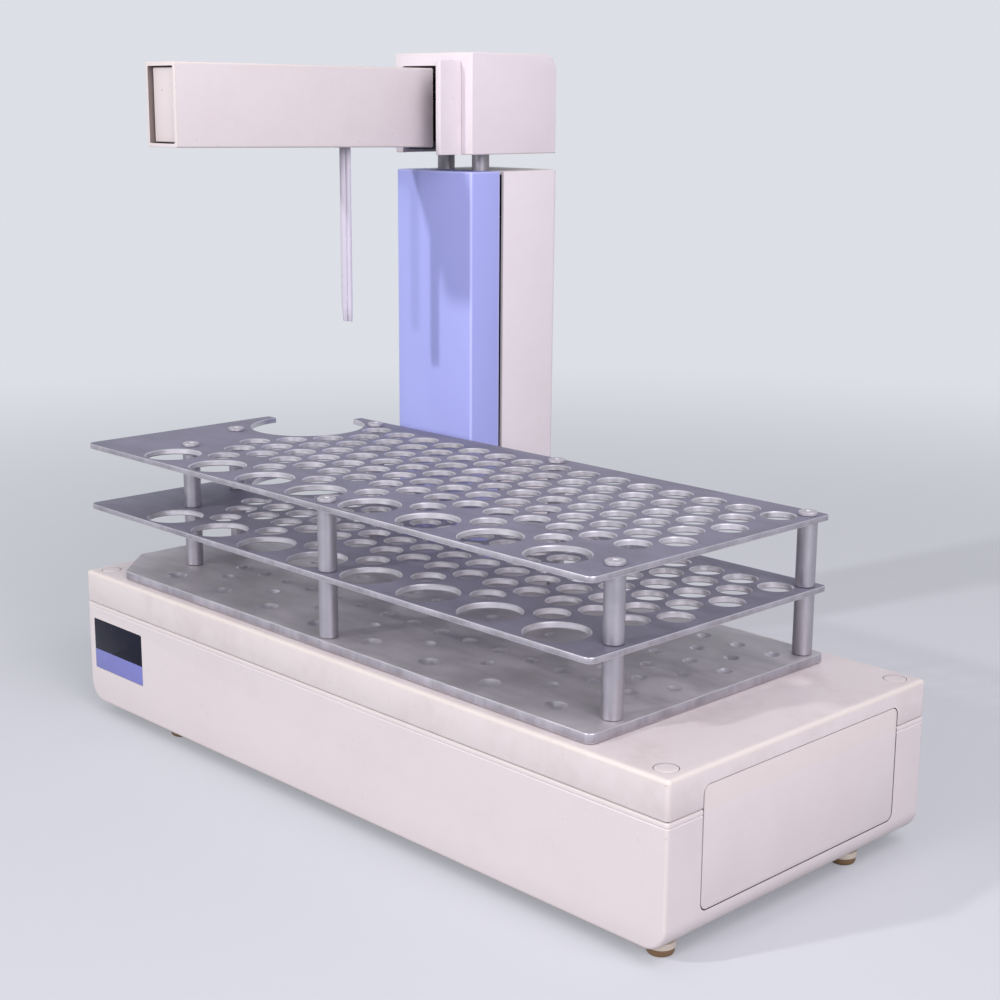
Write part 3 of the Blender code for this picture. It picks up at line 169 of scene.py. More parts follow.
def carve(piece, *cutters, operation="DIFFERENCE"):
    """Cuts the cutters out of a piece, or joins them on, and throws them away."""
    for cutter in cutters:
        if piece.data.materials and not cutter.data.materials:
            cutter.data.materials.append(piece.data.materials[0])
        only(piece)
        cut = piece.modifiers.new("carve", "BOOLEAN")
        cut.operation = operation
        cut.solver = "EXACT"
        cut.material_mode = "TRANSFER"
        cut.object = cutter
        bpy.ops.object.modifier_apply(modifier=cut.name)
        bpy.data.objects.remove(cutter, do_unlink=True)


# %% [markdown]
# Round pieces are turned in the same spirit. A disc is drawn out ring by ring along its axis, as a lathe
# would follow a profile, and what repeats is copied. The last helper gives a finished piece its shading
# and its material, hangs it on its body, and hides the solids of the frame that it stands for.

# %% Turned pieces and copies
def turned(name, profile, sides=48, place=(0, 0)):
    """A lathe-turned piece: a disc drawn out ring by ring, as (radius, level) pairs from the bottom up."""
    deselect()
    radius, level = profile[0]
    centre = (*place, level)
    bpy.ops.mesh.primitive_circle_add(vertices=sides, radius=radius, fill_type="NGON", location=centre)
    piece = settle(name)
    bpy.ops.mesh.select_mode(type="FACE")
    bpy.ops.mesh.select_all(action="SELECT")
    for next_radius, next_level in profile[1:]:
        rise = (0, 0, next_level - level)
        bpy.ops.mesh.extrude_region_move(TRANSFORM_OT_translate={"value": rise})
        share = next_radius / radius
        bpy.ops.transform.resize(value=(share, share, 1), center_override=(*place, next_level))
        radius, level = next_radius, next_level
    bpy.ops.mesh.select_all(action="SELECT")
    bpy.ops.mesh.normals_make_consistent(inside=False)
    return piece


def scatter(source, places):
    """Copies of a piece, each with its own mesh, at offsets in X and Y. The source itself goes."""
    only(source)
    made = []
    for index, (x, y) in enumerate(places, 1):
        copy = source.copy()
        copy.data = source.data.copy()
        copy.name = copy.data.name = f"{source.name}_{index}"
        copy.data.transform(Matrix.Translation((x, y, 0)))
        bpy.context.scene.collection.objects.link(copy)
        made.append(copy)
    bpy.data.objects.remove(source, do_unlink=True)
    return made


def joined(pieces):
    """Makes one object of several."""
    only(pieces[0])
    for piece in pieces:
        piece.select_set(True)
    bpy.ops.object.join()
    return pieces[0]


def wear(piece, *looks):
    """Puts materials on a piece, after those that it has."""
    only(piece)
    for look in looks:
        piece.data.materials.append(look)


def dress(piece, body, slot, look, *nodes, angle=30):
    """Shades a finished piece, gives it its material, and hands it to the frame."""
    only(piece)
    bpy.ops.object.shade_smooth_by_angle(angle=radians(angle))
    if look:
        piece.data.materials.clear()
        piece.data.materials.append(look)
    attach(piece, body)
    if nodes:
        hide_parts(*nodes)
    print(f"{piece.name}: {len(piece.data.polygons)} faces on {body}")


# %% [markdown]
# ## Tools for materials
#
# Three effects come back in many finishes: the fine texture of moulded plastic, the stains and specks of
# use, and the worn or yellowed edges of a casing. Each is a node group with named inputs, so that a
# material only says how strong it is. The groups read Object coordinates, which are metres here, because
# a piece's mesh holds its place.

# %% Node helpers
def node(tree, kind, values=None, **settings):
    """Adds a node; a value that is a socket is linked, any other is set."""
    made = tree.nodes.new(kind)
    for name, value in settings.items():
        setattr(made, name, value)
    for name, value in (values or {}).items():
        if isinstance(value, bpy.types.NodeSocket):
            tree.links.new(value, made.inputs[name])
        else:
            made.inputs[name].default_value = value
    return made


def maths(tree, operation, first, second=0.0, clamp=False):
    """A Math node's result."""
    values = {0: first, 1: second}
    return node(tree, "ShaderNodeMath", values, operation=operation, use_clamp=clamp).outputs[0]


def times(tree, first, second):
    """The product of two values."""
    return maths(tree, "MULTIPLY", first, second)


def blend(tree, first, second, share):
    """A sum of two values, the first with its share and the second with the rest."""
    return maths(tree, "ADD", times(tree, first, share), times(tree, second, 1 - share))


first_colour, second_colour, mixed_colour = 6, 7, 2


def mixed(tree, share, first, second):
    """A colour between two others. A Mix node has sockets for each type of data; these are for colours."""
    values = {"Factor": share}
    for index, colour in ((first_colour, first), (second_colour, second)):
        values[index] = colour if isinstance(colour, bpy.types.NodeSocket) else (*colour, 1)
    return node(tree, "ShaderNodeMix", values, data_type="RGBA").outputs[mixed_colour]


def ramp(tree, value, start, end, low=0.0, high=1.0):
    """Brings a value from one range to another, smoothly and clamped."""
    values = {"Value": value, 1: start, 2: end, 3: low, 4: high}
    return node(tree, "ShaderNodeMapRange", values, interpolation_type="SMOOTHSTEP").outputs[0]


def noise(tree, place, scale, detail=2.0, roughness=0.5):
    """A soft noise between 0 and 1."""
    values = {"Vector": place, "Scale": scale, "Detail": detail, "Roughness": roughness}
    return node(tree, "ShaderNodeTexNoise", values).outputs[0]


def new_group(name, inputs, outputs):
    """An empty node group with named sockets, and its two end nodes."""
    group = bpy.data.node_groups.new(name, "ShaderNodeTree")
    for label, value in inputs.items():
        kind = "NodeSocketVector" if isinstance(value, tuple) else "NodeSocketFloat"
        group.interface.new_socket(name=label, in_out="INPUT", socket_type=kind).default_value = value
    for label in outputs:
        group.interface.new_socket(name=label, in_out="OUTPUT", socket_type="NodeSocketFloat")
    return group, group.nodes.new("NodeGroupInput"), group.nodes.new("NodeGroupOutput")


def use(tree, group, values):
    """Places a group in a material with its own values, and gives its outputs."""
    return node(tree, "ShaderNodeGroup", values, node_tree=group).outputs


# %% [markdown]
# The grain is a fine noise over a coarse one, and feeds a Bump node. The soil is two masks from noises of
# several sizes. Edge wear could come from the shader's bevel or pointiness, but a box's edges are known,
# so the distance to its faces gives a mask that stays the same in every renderer.

# %% Three shared effects
def make_grain():
    """The fine texture of a moulded or blasted surface, as a height."""
    sockets = {"Place": (0, 0, 0), "Scale": 900.0}
    group, enter, leave = new_group("surface grain", sockets, ["Height"])
    place, scale = enter.outputs[:2]
    fine = noise(group, place, scale, 3.0)
    coarse = noise(group, place, times(group, scale, 0.04), 2.0)
    height = maths(group, "ADD", fine, times(group, coarse, 2.0))
    group.links.new(height, leave.inputs[0])
    return group


def make_soil():
    """Stains, smears and specks that a used surface gathers, as two masks."""
    sockets = {"Place": (0, 0, 0), "Patch size": 20.0, "Specks": 0.5}
    group, enter, leave = new_group("soil of use", sockets, ["Stain", "Speck"])
    place, size, specks = enter.outputs[:3]
    broad = noise(group, place, size, 4.0, 0.6)
    close = noise(group, place, times(group, size, 4.7), 3.0, 0.6)
    group.links.new(ramp(group, blend(group, broad, close, 0.7), 0.42, 0.68), leave.inputs[0])
    dots = noise(group, place, 480.0, 1.0)
    spread = ramp(group, noise(group, place, 35.0, 2.0), 0.45, 0.7)
    found = times(group, ramp(group, dots, 0.72, 0.78), spread)
    group.links.new(times(group, found, specks), leave.inputs[1])
    return group


def make_edge_wear():
    """A mask that grows towards the edges of a box: the second smallest distance to the box's faces."""
    sockets = {"Place": (0, 0, 0), "Middle": (0, 0, 0), "Half": (1, 1, 1), "Width": 0.003}
    group, enter, leave = new_group("edge wear", sockets, ["Mask"])
    place, middle, half, width = enter.outputs[:4]
    away = node(group, "ShaderNodeVectorMath", {0: place, 1: middle}, operation="SUBTRACT").outputs[0]
    away = node(group, "ShaderNodeVectorMath", {0: away}, operation="ABSOLUTE").outputs[0]
    inward = node(group, "ShaderNodeVectorMath", {0: half, 1: away}, operation="SUBTRACT").outputs[0]
    x, y, z = node(group, "ShaderNodeSeparateXYZ", {0: inward}).outputs[:3]
    kinds = ("MINIMUM", "MAXIMUM", "ADD")
    least, most, total = [maths(group, kind, maths(group, kind, x, y), z) for kind in kinds]
    second = maths(group, "SUBTRACT", maths(group, "SUBTRACT", total, least), most)
    rough = maths(group, "SUBTRACT", noise(group, place, 160.0, 4.0, 0.65), 0.5)
    wobble = times(group, rough, 0.5)
    reach = times(group, width, maths(group, "ADD", wobble, 1.0))
    nearness = ramp(group, maths(group, "DIVIDE", second, reach), 0.35, 1.0, 1.0, 0.0)
    group.links.new(nearness, leave.inputs[0])
    return group


grain = make_grain()
soil = make_soil()
edge_wear = make_edge_wear()
print("shared effects:", ", ".join(group.name for group in (grain, soil, edge_wear)))

# %% [markdown]
# ## Finishes
#
# The casing is moulded in a warm light grey, satin, with a fine grain. Years of light and hands have left
# it slightly cream along its edges, with stains here and there, and its up-facing faces are darkened with
# painted shade. One function builds all casing finishes, because only the amount of soil and shade and the
# place of the edges differ from piece to piece.

# %% Casing plastic
def start_material(name, roughness, metallic=0.0, level=0.5):
    """A new material: its tree, its Principled shader, and the Object coordinates."""
    material = bpy.data.materials.new(name)
    material.use_nodes = True
    tree = material.node_tree
    shader = tree.nodes["Principled BSDF"]
    shader.inputs["Roughness"].default_value = roughness
    shader.inputs["Metallic"].default_value = metallic
    shader.inputs["Specular IOR Level"].default_value = level
    return material, tree, shader, node(tree, "ShaderNodeTexCoord").outputs["Object"]


def feed(tree, shader, colour, dull=None, height=None, depth=0.0):
    """Links a finish's colour, and its roughness and relief if it has them, to the shader."""
    tree.links.new(colour, shader.inputs["Base Color"])
    if dull:
        tree.links.new(dull, shader.inputs["Roughness"])
    if height:
        bump = node(tree, "ShaderNodeBump", {"Height": height, "Distance": depth, "Strength": 1.0})
        tree.links.new(bump.outputs[0], shader.inputs["Normal"])


def grained(tree, place, scale):
    """The moulded grain at one scale, as a height."""
    return use(tree, grain, {"Place": place, "Scale": scale})[0]


def upright(tree, vector):
    """The Z part of a vector."""
    return node(tree, "ShaderNodeSeparateXYZ", {0: vector}).outputs[2]


def worn_edges(tree, place, low, high, width):
    """The mask of the worn edges of the box between two corners."""
    middle = [(a + b) / 2 for a, b in zip(low, high)]
    half = [(b - a) / 2 for a, b in zip(low, high)]
    return use(tree, edge_wear, {"Place": place, "Middle": middle, "Half": half, "Width": width})[0]


def casing(name, colour, box, stain, specks, worn, width=0.003, patch=18.0, top=0.0, crest=None):
    """Moulded plastic, worn along the edges of its box; crest is the height of the most worn edges; top
    paints shade on up-facing faces.
    """
    material, tree, shader, place = start_material(name, 0.5)
    soiled = use(tree, soil, {"Place": place, "Patch size": patch, "Specks": specks})
    edges = worn_edges(tree, place, *box, width)
    if crest:
        near_crest = ramp(tree, upright(tree, place), crest - 0.003, crest, 0.25, 1.0)
        edges = times(tree, edges, near_crest)
    stain_and_shade_colour = [part * share for part, share in zip(colour, (0.86, 0.83, 0.82))]
    cream = [part * share for part, share in zip(colour, (0.99, 0.97, 0.88))]
    shade = times(tree, soiled[0], stain)
    # top darkens the faces that face up: a painted shade, mixed towards the same colour as the stains.
    if top:
        facing = node(tree, "ShaderNodeNewGeometry").outputs["Normal"]
        up_facing_shade = ramp(tree, upright(tree, facing), 0.7, 0.98)
        shade = maths(tree, "ADD", shade, times(tree, up_facing_shade, top), clamp=True)
    base = mixed(tree, shade, colour, stain_and_shade_colour)
    base = mixed(tree, times(tree, edges, worn), base, cream)
    base = mixed(tree, soiled[1], base, (0.16, 0.12, 0.10))
    dull = ramp(tree, soiled[0], 0.0, 1.0, 0.38, 0.52)
    feed(tree, shader, base, dull, grained(tree, place, 1100.0), 0.00006)
    return material


shell_box = ((-base_end, base_front, shell_bottom), (base_end, base_rear, shell_top))
cover_box = ((-base_end, base_front, cover_bottom - 0.02), (base_end, base_rear, cover_top))
front_box = ((column_left, column_front, column_bottom), (column_right, split_front, column_top))
rear_box = ((column_left, split_rear, column_bottom), (column_right, column_rear, column_top))
head_box = ((tower_x - half_head, column_front, head_bottom), (tower_x + half_head, head_rear, head_top))
arm_box = ((arm_x - arm_half, arm_tip, 0.4030), (arm_x + arm_half, arm_root, 0.4580))

shell_colour, cover_colour = (0.735, 0.665, 0.682), (0.755, 0.685, 0.695)
crest = cover_top - 0.002
shell_plastic = casing("shell plastic", shell_colour, shell_box, 0.2, 0.25, 0.35, 0.0025, 11.0)
# The cover's 0.4 for top darkens its up-facing faces as painted shade.
cover_plastic = casing("cover plastic", cover_colour, cover_box, 0.6, 0.35, 0.65, 0.0036, 22.0, 0.4, crest)
column_plastic = casing("column plastic", (0.80, 0.735, 0.775), rear_box, 0.2, 0.2, 0.4, 0.0022)
head_plastic = casing("head plastic", (0.795, 0.72, 0.765), head_box, 0.2, 0.2, 0.4, 0.0018)
arm_plastic = casing("arm plastic", (0.775, 0.70, 0.715), arm_box, 0.22, 0.25, 0.5, 0.0018, 30.0)
end_plastic = casing("arm end plastic", (0.76, 0.675, 0.685), arm_box, 0.25, 0.3, 0.3, 0.0024, 30.0)
# A dark finish that paints the shade in gaps, seams and plug seats and inside the arm's hollow.
painted_shade_plastic = casing("painted shade", (0.24, 0.19, 0.18), arm_box, 0.5, 0.0, 0.0)
print("casing finishes ready")

# %% [markdown]
# The front of the column is moulded in a periwinkle blue. It is cleaner than the base, so a faint
# variation and a paler edge are enough.

# %% Column blue, badge and probe
def coloured_plastic(name, colour, roughness=0.45, variation=0.08, depth=0.00004):
    """Clean moulded plastic with a slight variation of its colour."""
    material, tree, shader, place = start_material(name, roughness)
    darker = [part * (1 - variation) for part in colour]
    cloud = noise(tree, place, 28.0, 4.0)
    dull = ramp(tree, cloud, 0.3, 0.7, roughness - 0.04, roughness + 0.05)
    feed(tree, shader, mixed(tree, cloud, colour, darker), dull, grained(tree, place, 1000.0), depth)
    return material


def make_column_blue():
    """The blue of the column's front, paler along its edges."""
    material, tree, shader, place = start_material("column blue", 0.48)
    edges = worn_edges(tree, place, *front_box, 0.0016)
    cloud = noise(tree, place, 22.0, 4.0)
    base = mixed(tree, cloud, (0.41, 0.44, 0.88), (0.39, 0.42, 0.845))
    base = mixed(tree, times(tree, edges, 0.55), base, (0.60, 0.63, 0.95))
    feed(tree, shader, base, None, grained(tree, place, 1000.0), 0.00004)
    return material


tone_line = 0.0474


def make_badge_print():
    """A plain plate in two tones, dark above and violet blue below, with nothing printed on it."""
    material, tree, shader, place = start_material("badge print", 0.3, level=0.2)
    upper = maths(tree, "GREATER_THAN", upright(tree, place), tone_line)
    scuffs = ramp(tree, noise(tree, place, 260.0, 3.0), 0.66, 0.76, 0.0, 0.06)
    base = mixed(tree, upper, (0.215, 0.225, 0.56), (0.005, 0.006, 0.018))
    dull = ramp(tree, noise(tree, place, 90.0), 0.3, 0.7, 0.26, 0.36)
    feed(tree, shader, mixed(tree, scuffs, base, (0.5, 0.5, 0.55)), dull)
    return material


column_blue = make_column_blue()
badge_print = make_badge_print()
probe_white = coloured_plastic("probe white", (0.65, 0.615, 0.71), 0.35, 0.05, 0.00002)
black_plastic = coloured_plastic("black plastic", (0.018, 0.018, 0.020), 0.42, 0.2)
collar_cream = coloured_plastic("cream collar", (0.62, 0.55, 0.47), 0.5, 0.12)
foot_rubber = coloured_plastic("amber rubber", (0.21, 0.125, 0.06), 0.6, 0.25, 0.00008)
belt_rubber = coloured_plastic("belt rubber", (0.016, 0.016, 0.017), 0.75, 0.2, 0.0001)
print("plastics and rubbers ready")

# %% [markdown]
# The tray is anodised aluminium sheet: grey, satin, with a faint grain along its length and cloudy
# patches where it was handled. Wherever a tool cut through it, the bare metal shows brighter, and the
# same bright finish paints highlights on the broken edges, the walls of the holes and the dimples. The
# rods are ground steel, and the posts are turned, with fine rings round them.

# %% Metals
def metal(name, colour, rough, streak, contrast=0.16, depth=0.00002, patches=24.0, share=1.0):
    """Metal with streaks along one direction, cloudy patches and a matching roughness."""
    material, tree, shader, place = start_material(name, rough, share)
    drawn = node(tree, "ShaderNodeMapping", {"Vector": place, "Scale": streak}).outputs[0]
    lines = noise(tree, drawn, 1.0, 4.0, 0.6)
    cloud = noise(tree, place, patches, 5.0, 0.62)
    shade = blend(tree, lines, cloud, 0.4)
    light = [min(1.0, part * (1 + contrast)) for part in colour]
    dark = [part * (1 - contrast) for part in colour]
    toned = mixed(tree, ramp(tree, shade, 0.3, 0.7), dark, light)
    feed(tree, shader, toned, ramp(tree, cloud, 0.3, 0.7, rough - 0.06, rough + 0.08), lines, depth)
    return material


rolled, sawn, sheared = (30.0, 110.0, 110.0), (60.0, 60.0, 500.0), (160.0, 160.0, 20.0)
rings, fine_rings, even = (30.0, 30.0, 700.0), (40.0, 40.0, 1800.0), (300.0, 300.0, 300.0)
tray_metal = metal("anodised aluminium", (0.24, 0.228, 0.293), 0.62, rolled, 0.14, 0.00001, 22.0, 0.7)
base_metal = metal("dimpled aluminium", (0.49, 0.46, 0.485), 0.58, rolled, 0.16, 0.00001, 18.0, 0.75)
# Bare metal of the cuts, made bright to paint highlights on broken edges, hole walls and dimples.
bare_and_highlight_metal = metal("cut aluminium with painted highlight", (0.60, 0.58, 0.615), 0.40, sawn, 0.14, 0.00001, 60.0, 0.85)
side_metal = metal("sheared aluminium", (0.42, 0.40, 0.445), 0.50, sheared, 0.22, 0.00001, 50.0, 0.75)
post_metal = metal("turned aluminium", (0.44, 0.42, 0.46), 0.42, rings, 0.03, 0.000002, 60.0)
cap_metal = metal("screw aluminium", (0.50, 0.475, 0.51), 0.5, even, 0.10, 0.000004, 200.0, 0.7)
rod_steel = metal("ground steel", (0.37, 0.35, 0.37), 0.52, fine_rings, 0.08, 0.000004)
rail_steel = metal("rail steel", (0.40, 0.40, 0.42), 0.28, (8.0, 700.0, 700.0))
frame_metal = metal("black anodised", (0.045, 0.045, 0.05), 0.45, (200.0, 200.0, 12.0), 0.2)
motor_paint = coloured_plastic("motor paint", (0.02, 0.02, 0.022), 0.4, 0.2)
print("metals ready")

# %% [markdown]
# ## The base
#
# The lower shell is a long open box. Its two bottom edges at the ends have a large radius, and all other
# edges a small one. A bevel of the cube's edges gives both. Just under the seam the real shell has a
# rounded bead and a fine groove below it, which draw one bright and one dark line along the front.

# %% Lower shell
end_radius = 0.015
corner_edge, bead_edge = 0.0022, 0.0014
groove_level, groove_half, groove_depth = shell_top - 0.0032, 0.0006, 0.0004


def make_base_shell():
    shell = block("base_shell", *shell_box)
    bevel(running(Y, (Z, shell_bottom)), end_radius, 12)
    front_or_rear = lying((Y, base_front), (Y, base_rear))
    bevel(lambda edge: front_or_rear(edge) and not at(edge, Z, shell_top), corner_edge, 4)
    bevel(lying((Z, shell_top)), bead_edge, 4)
    for level in (groove_level - groove_half, groove_level, groove_level + groove_half):
        bpy.ops.mesh.select_all(action="SELECT")
        bpy.ops.mesh.bisect(plane_co=(0, 0, level), plane_no=(0, 0, 1))
    pick("verts", lambda vert: abs(vert.co.z - groove_level) < TOUCH)
    inset = (1 - groove_depth / base_end, 1 - 2 * groove_depth / (base_rear - base_front), 1)
    bpy.ops.transform.resize(value=inset, center_override=(0, base_middle, groove_level))
    only(shell)
    return shell


shell = make_base_shell()
print("outer shell:", len(shell.data.polygons), "faces")

# %% [markdown]
# The hollow, the slot for the tower in the rear wall, the seat of the badge, the pocket of the end panel
# and the recess for the connectors are cut with blocks. A cutter's own corners are rounded first, so the
# cut gets the same corners, as a moulded or milled opening has.

# %% Hollow and openings of the lower shell
def tool(low, high, axis=None, radius=0.0, steps=6):
    """A block for cutting, with rounded corners round one axis."""
    made = block("tool", low, high)
    if radius:
        bevel(running(axis), radius, steps)
    only(made)
    return made


overrun = 0.004
panel_half, panel_low, panel_high, panel_radius = 0.08725, 0.0245, 0.094, 0.0045
panel_depth, panel_gap, front_gap, back_gap = 0.0024, 0.0005, 0.0009, 0.0003
shell_floor = shell_bottom + side_wall
slot_left, slot_right, slot_bottom, slot_top, slot_radius = -0.23105, 0.23495, 0.0312, 0.0548, 0.003
badge_left, badge_right, badge_bottom, badge_top = -0.2670, -0.2063, 0.0335, 0.0700
badge_depth, badge_gap, badge_radius = 0.0012, 0.0003, 0.0009
recess_front, recess_rear, recess_bottom, recess_top = -0.12265, 0.02735, 0.026, 0.068
recess_face, recess_radius = 0.0042 - base_end, 0.004
inlet_y, serial_y, connector_z = -0.08965, -0.02165, 0.047
idler_place = (0.246, 0.0122)


def drawn_in(box, low, high):
    """The corners of a smaller box: how far each side moves in, as (X, Y, Z) at either corner."""
    moved_low = [side + step for side, step in zip(box[0], low)]
    return moved_low, [side - step for side, step in zip(box[1], high)]


def panel_pocket():
    """A cutter for the seat of the end panel, which is a hair wider than the panel."""
    low = (base_end - panel_depth - back_gap, base_middle - panel_half - front_gap, panel_low - panel_gap)
    high = (base_end + overrun, base_middle + panel_half + panel_gap, panel_high + panel_gap)
    pocket = tool(low, high, X, panel_radius + panel_gap)
    # The pocket's cut walls take the painted shade of the gap.
    wear(pocket, painted_shade_plastic)
    return pocket


def connector_hole(middle_y, half_width, half_height):
    """A cutter that lets a connector through the back of the recess."""
    low = (recess_face - 0.0017, middle_y - half_width, connector_z - half_height)
    return tool(low, (recess_face + 0.0068, middle_y + half_width, connector_z + half_height))


def paint_seam_shade(piece, rule):
    """Gives the painted shade of the dark inside finish to the faces that only show through a gap."""
    for face in piece.data.polygons:
        if rule(face):
            face.material_index = piece.data.materials.find(painted_shade_plastic.name)


walls = (end_wall, side_wall, side_wall)
hollow = block("hollow", *drawn_in(shell_box, walls, (end_wall, side_wall, -overrun)))
bevel(running(Y, (Z, shell_floor)), end_radius - side_wall, 8)
wear(shell, shell_plastic)
slot_low = (slot_left, base_rear - side_wall - overrun, slot_bottom)
slot = tool(slot_low, (slot_right, base_rear + overrun, slot_top), Y, slot_radius, 4)
seat_low = (badge_left - badge_gap, base_front - overrun, badge_bottom - badge_gap)
seat_high = (badge_right + badge_gap, base_front + badge_depth + badge_gap, badge_top + badge_gap)
badge_seat = tool(seat_low, seat_high, Y, badge_radius + badge_gap, 3)
recess_low = (-base_end - overrun, recess_front, recess_bottom)
recess = tool(recess_low, (recess_face, recess_rear, recess_top), X, recess_radius)
carve(shell, hollow, slot, badge_seat, panel_pocket(), recess)
carve(shell, connector_hole(inlet_y, 0.0273, 0.0113), connector_hole(serial_y, 0.009, 0.0046))
idler_profile = ((0.006, 0.010), (0.006, 0.0607), (0.002, 0.0607), (0.002, 0.071))
carve(shell, turned("idler_post", idler_profile, 24, idler_place), operation="UNION")
# The shell's top, seen only through the seam, gets painted shade.
paint_seam_shade(shell, lambda face: face.normal.z > 0.9 and abs(face.center.z - shell_top) < TOUCH)
dress(shell, "base", "casing", None, "lower_shell")

# %% [markdown]
# The cover sits on the shell. Its top edges have a clear radius, which catches the light as a pale line,
# and each corner holds a round plug over a screw. The wall of the plug's seat is painted dark, a hair-thin
# ring of painted shadow.

# %% Cover and plugs
cover_corner, cover_edge, seam_edge = 0.0028, 0.0026, 0.0007
plug_x, plug_y, plug_radius, plug_gap, seat_depth = 0.262, 0.10285, 0.0066, 0.0004, 0.0028
corners = {"front_left": (-1, -1), "front_right": (1, -1), "rear_right": (1, 1), "rear_left": (-1, 1)}
plug_places = [(end * plug_x, base_middle + side * plug_y) for end, side in corners.values()]


def make_cover():
    box = ((-base_end, base_front, cover_bottom), (base_end, base_rear, cover_top))
    cover = block("base_cover", *box)
    bevel(running(Z), cover_corner, 5)
    bevel(lying((Z, cover_top)), cover_edge, 5)
    bevel(lying((Z, cover_bottom)), seam_edge, 2)
    inner = tool(*drawn_in(box, (end_wall, side_wall, -overrun), walls))
    seat_radius = plug_radius + plug_gap
    seat = turned("seat", ((seat_radius, cover_top - seat_depth), (seat_radius, cover_top + overrun)))
    # The seat's wall takes painted shade: the ring of shadow round each plug.
    wear(seat, painted_shade_plastic)
    wear(cover, cover_plastic)
    carve(cover, inner, *scatter(seat, plug_places), panel_pocket())
    # The cover's underside, seen only through the seam, gets painted shade.
    paint_seam_shade(cover, lambda face: face.normal.z < -0.9)
    dress(cover, "base", "casing", None, "top_cover")


make_cover()
dome = [(0.0062, cover_top - 0.0025), (plug_radius, cover_top - 0.0021), (plug_radius, cover_top)]
dome += [(plug_radius - 0.0005, cover_top + 0.00022), (0.0045, cover_top + 0.00036)]
dome += [(0.0020, cover_top + 0.00044)]
for plug, corner in zip(scatter(turned("plug", dome), plug_places), corners):
    dress(plug, "base", "casing", cover_plastic, f"corner_plug_{corner}", angle=40)

# %% [markdown]
# The access panel on the right end lies flush in its pocket, so only a thin gap outlines it, darkened by
# painted shade on the panel's sides and the pocket's walls. The badge plate is left plain in its two
# tones.
# The feet have a cream collar over amber rubber.

# %% Panel, badge and feet
panel_edge, badge_edge = 0.0005, 0.0002
panel_corner = (base_end - panel_depth, base_middle - panel_half, panel_low)
panel = block("end_panel", panel_corner, (base_end, base_middle + panel_half, panel_high))
bevel(running(X), panel_radius, 8)
bevel(lying((X, base_end)), panel_edge, 2)
wear(panel, shell_plastic, painted_shade_plastic)
# The panel's sides take the painted shade of the gap.
for face in panel.data.polygons:
    face.material_index = int(face.normal.x < 0.3)
dress(panel, "base", "casing", None, "access_panel")

badge_corner = (badge_right, base_front + badge_depth, badge_top)
badge = block("badge", (badge_left, base_front, badge_bottom), badge_corner)
bevel(running(Y), badge_radius, 4)
bevel(lying((Y, base_front)), badge_edge, 2)
dress(badge, "base", "badge", badge_print, "badge_plate")

foot_places = {
    "foot_front_right": (0.2585, -0.14515),
    "foot_rear_right": (0.2585, 0.01805),
    "foot_front_left": (-0.184, -0.14515),
    "foot_rear_left": (-0.184, 0.01805),
}
collar_level = 0.0041
foot_profile = [(0.0064, 0.0), (0.0070, 0.0004), (0.0075, 0.0014), (0.0077, 0.0036), (0.0076, 0.0040)]
foot_profile += [(0.0079, collar_level), (0.0083, 0.0045), (0.0083, 0.0073), (0.0080, 0.0077)]
foot_profile += [(0.0030, 0.0077), (0.0030, 0.0128)]
foot = turned("foot", foot_profile)
wear(foot, foot_rubber, collar_cream)
for face in foot.data.polygons:
    face.material_index = int(face.center.z > collar_level - TOUCH)
for piece, foot_node in zip(scatter(foot, foot_places.values()), foot_places):
    dress(piece, "base", "foot", None, foot_node)

# %% [markdown]
# ## The tray
#
# Two plates carry 97 small holes in staggered rows and eight large ones along the front. One cutter is
# turned with a flare at both ends, because every real hole has a small chamfer, then it is copied to all
# places and joined, and a single Boolean cuts the whole pattern. The cutter wears the bright bare-metal
# material, partly a painted highlight, so the walls of the holes take it over.

# %% Where the holes are
tray_left, tray_right, tray_front, tray_rear = -0.2739, 0.215, base_middle - 0.1105, base_middle + 0.0964
pitch = 0.0263
row_step = pitch * sqrt(3) / 2
first_x, first_y = tray_right - 0.0185, tray_rear - 0.0255
small_places = []
for row, count in enumerate((15, 14, 15, 15, 16, 15)):
    row_x, row_y = first_x - pitch / 2 * (row % 2), first_y - row * row_step
    small_places += [(row_x - column * pitch, row_y) for column in range(count)]
sparse_y = first_y - 6 * row_step
small_places += [(first_x - column * pitch, sparse_y) for column in range(2, 15, 2)]
large_places = [(first_x - column * pitch, sparse_y - 0.0234) for column in range(1, 16, 2)]
post_places = [(0.2055, -0.0820), (-0.0139, -0.1015), (-0.2150, -0.0630), (-0.2420, -0.0050)]
post_places += [(-0.1870, 0.0830), (-0.00075, 0.0860), (0.2072, 0.0856)]
post_places = [(x, y + base_middle) for x, y in post_places]
print(len(small_places), "small holes and", len(large_places), "large ones")

# %% [markdown]
# The plates are cut from sheet. The blank gets rounded corners and broken edges first, and its faces,
# edges and sides each wear their own metal; the broken edges wear the bright cut metal, which paints their
# highlight. At the rear left a round bite and the corner beyond it go.

# %% Perforated plates
bite_centre, bite_radius, bite_edge = (-0.222, base_middle + 0.046), 0.042, 0.0005
bite_corner = (-0.2195, base_middle + 0.048)
small_radius, large_radius, flare = 0.01025, 0.01875, 0.00065
top_low, middle_low, sheet = 0.1930, 0.1492, 0.0039
sheet_radius, small_sheet_radius, sheet_edge, post_hole_edge = 0.005, 0.002, 0.0006, 0.0002
past = 0.0004


def flared(radius, chamfer, low, high):
    """The profile of a cutter that widens past both faces of a plate."""
    wide = radius + chamfer + past
    return [(wide, low - past), (radius, low + chamfer), (radius, high - chamfer), (wide, high + past)]


def repeated(cutter, places):
    """Copies of a cutter at all places, joined into one; it leaves bright bare metal behind, partly a
    painted highlight.
    """
    made = joined(scatter(cutter, places))
    wear(made, bare_and_highlight_metal)
    return made


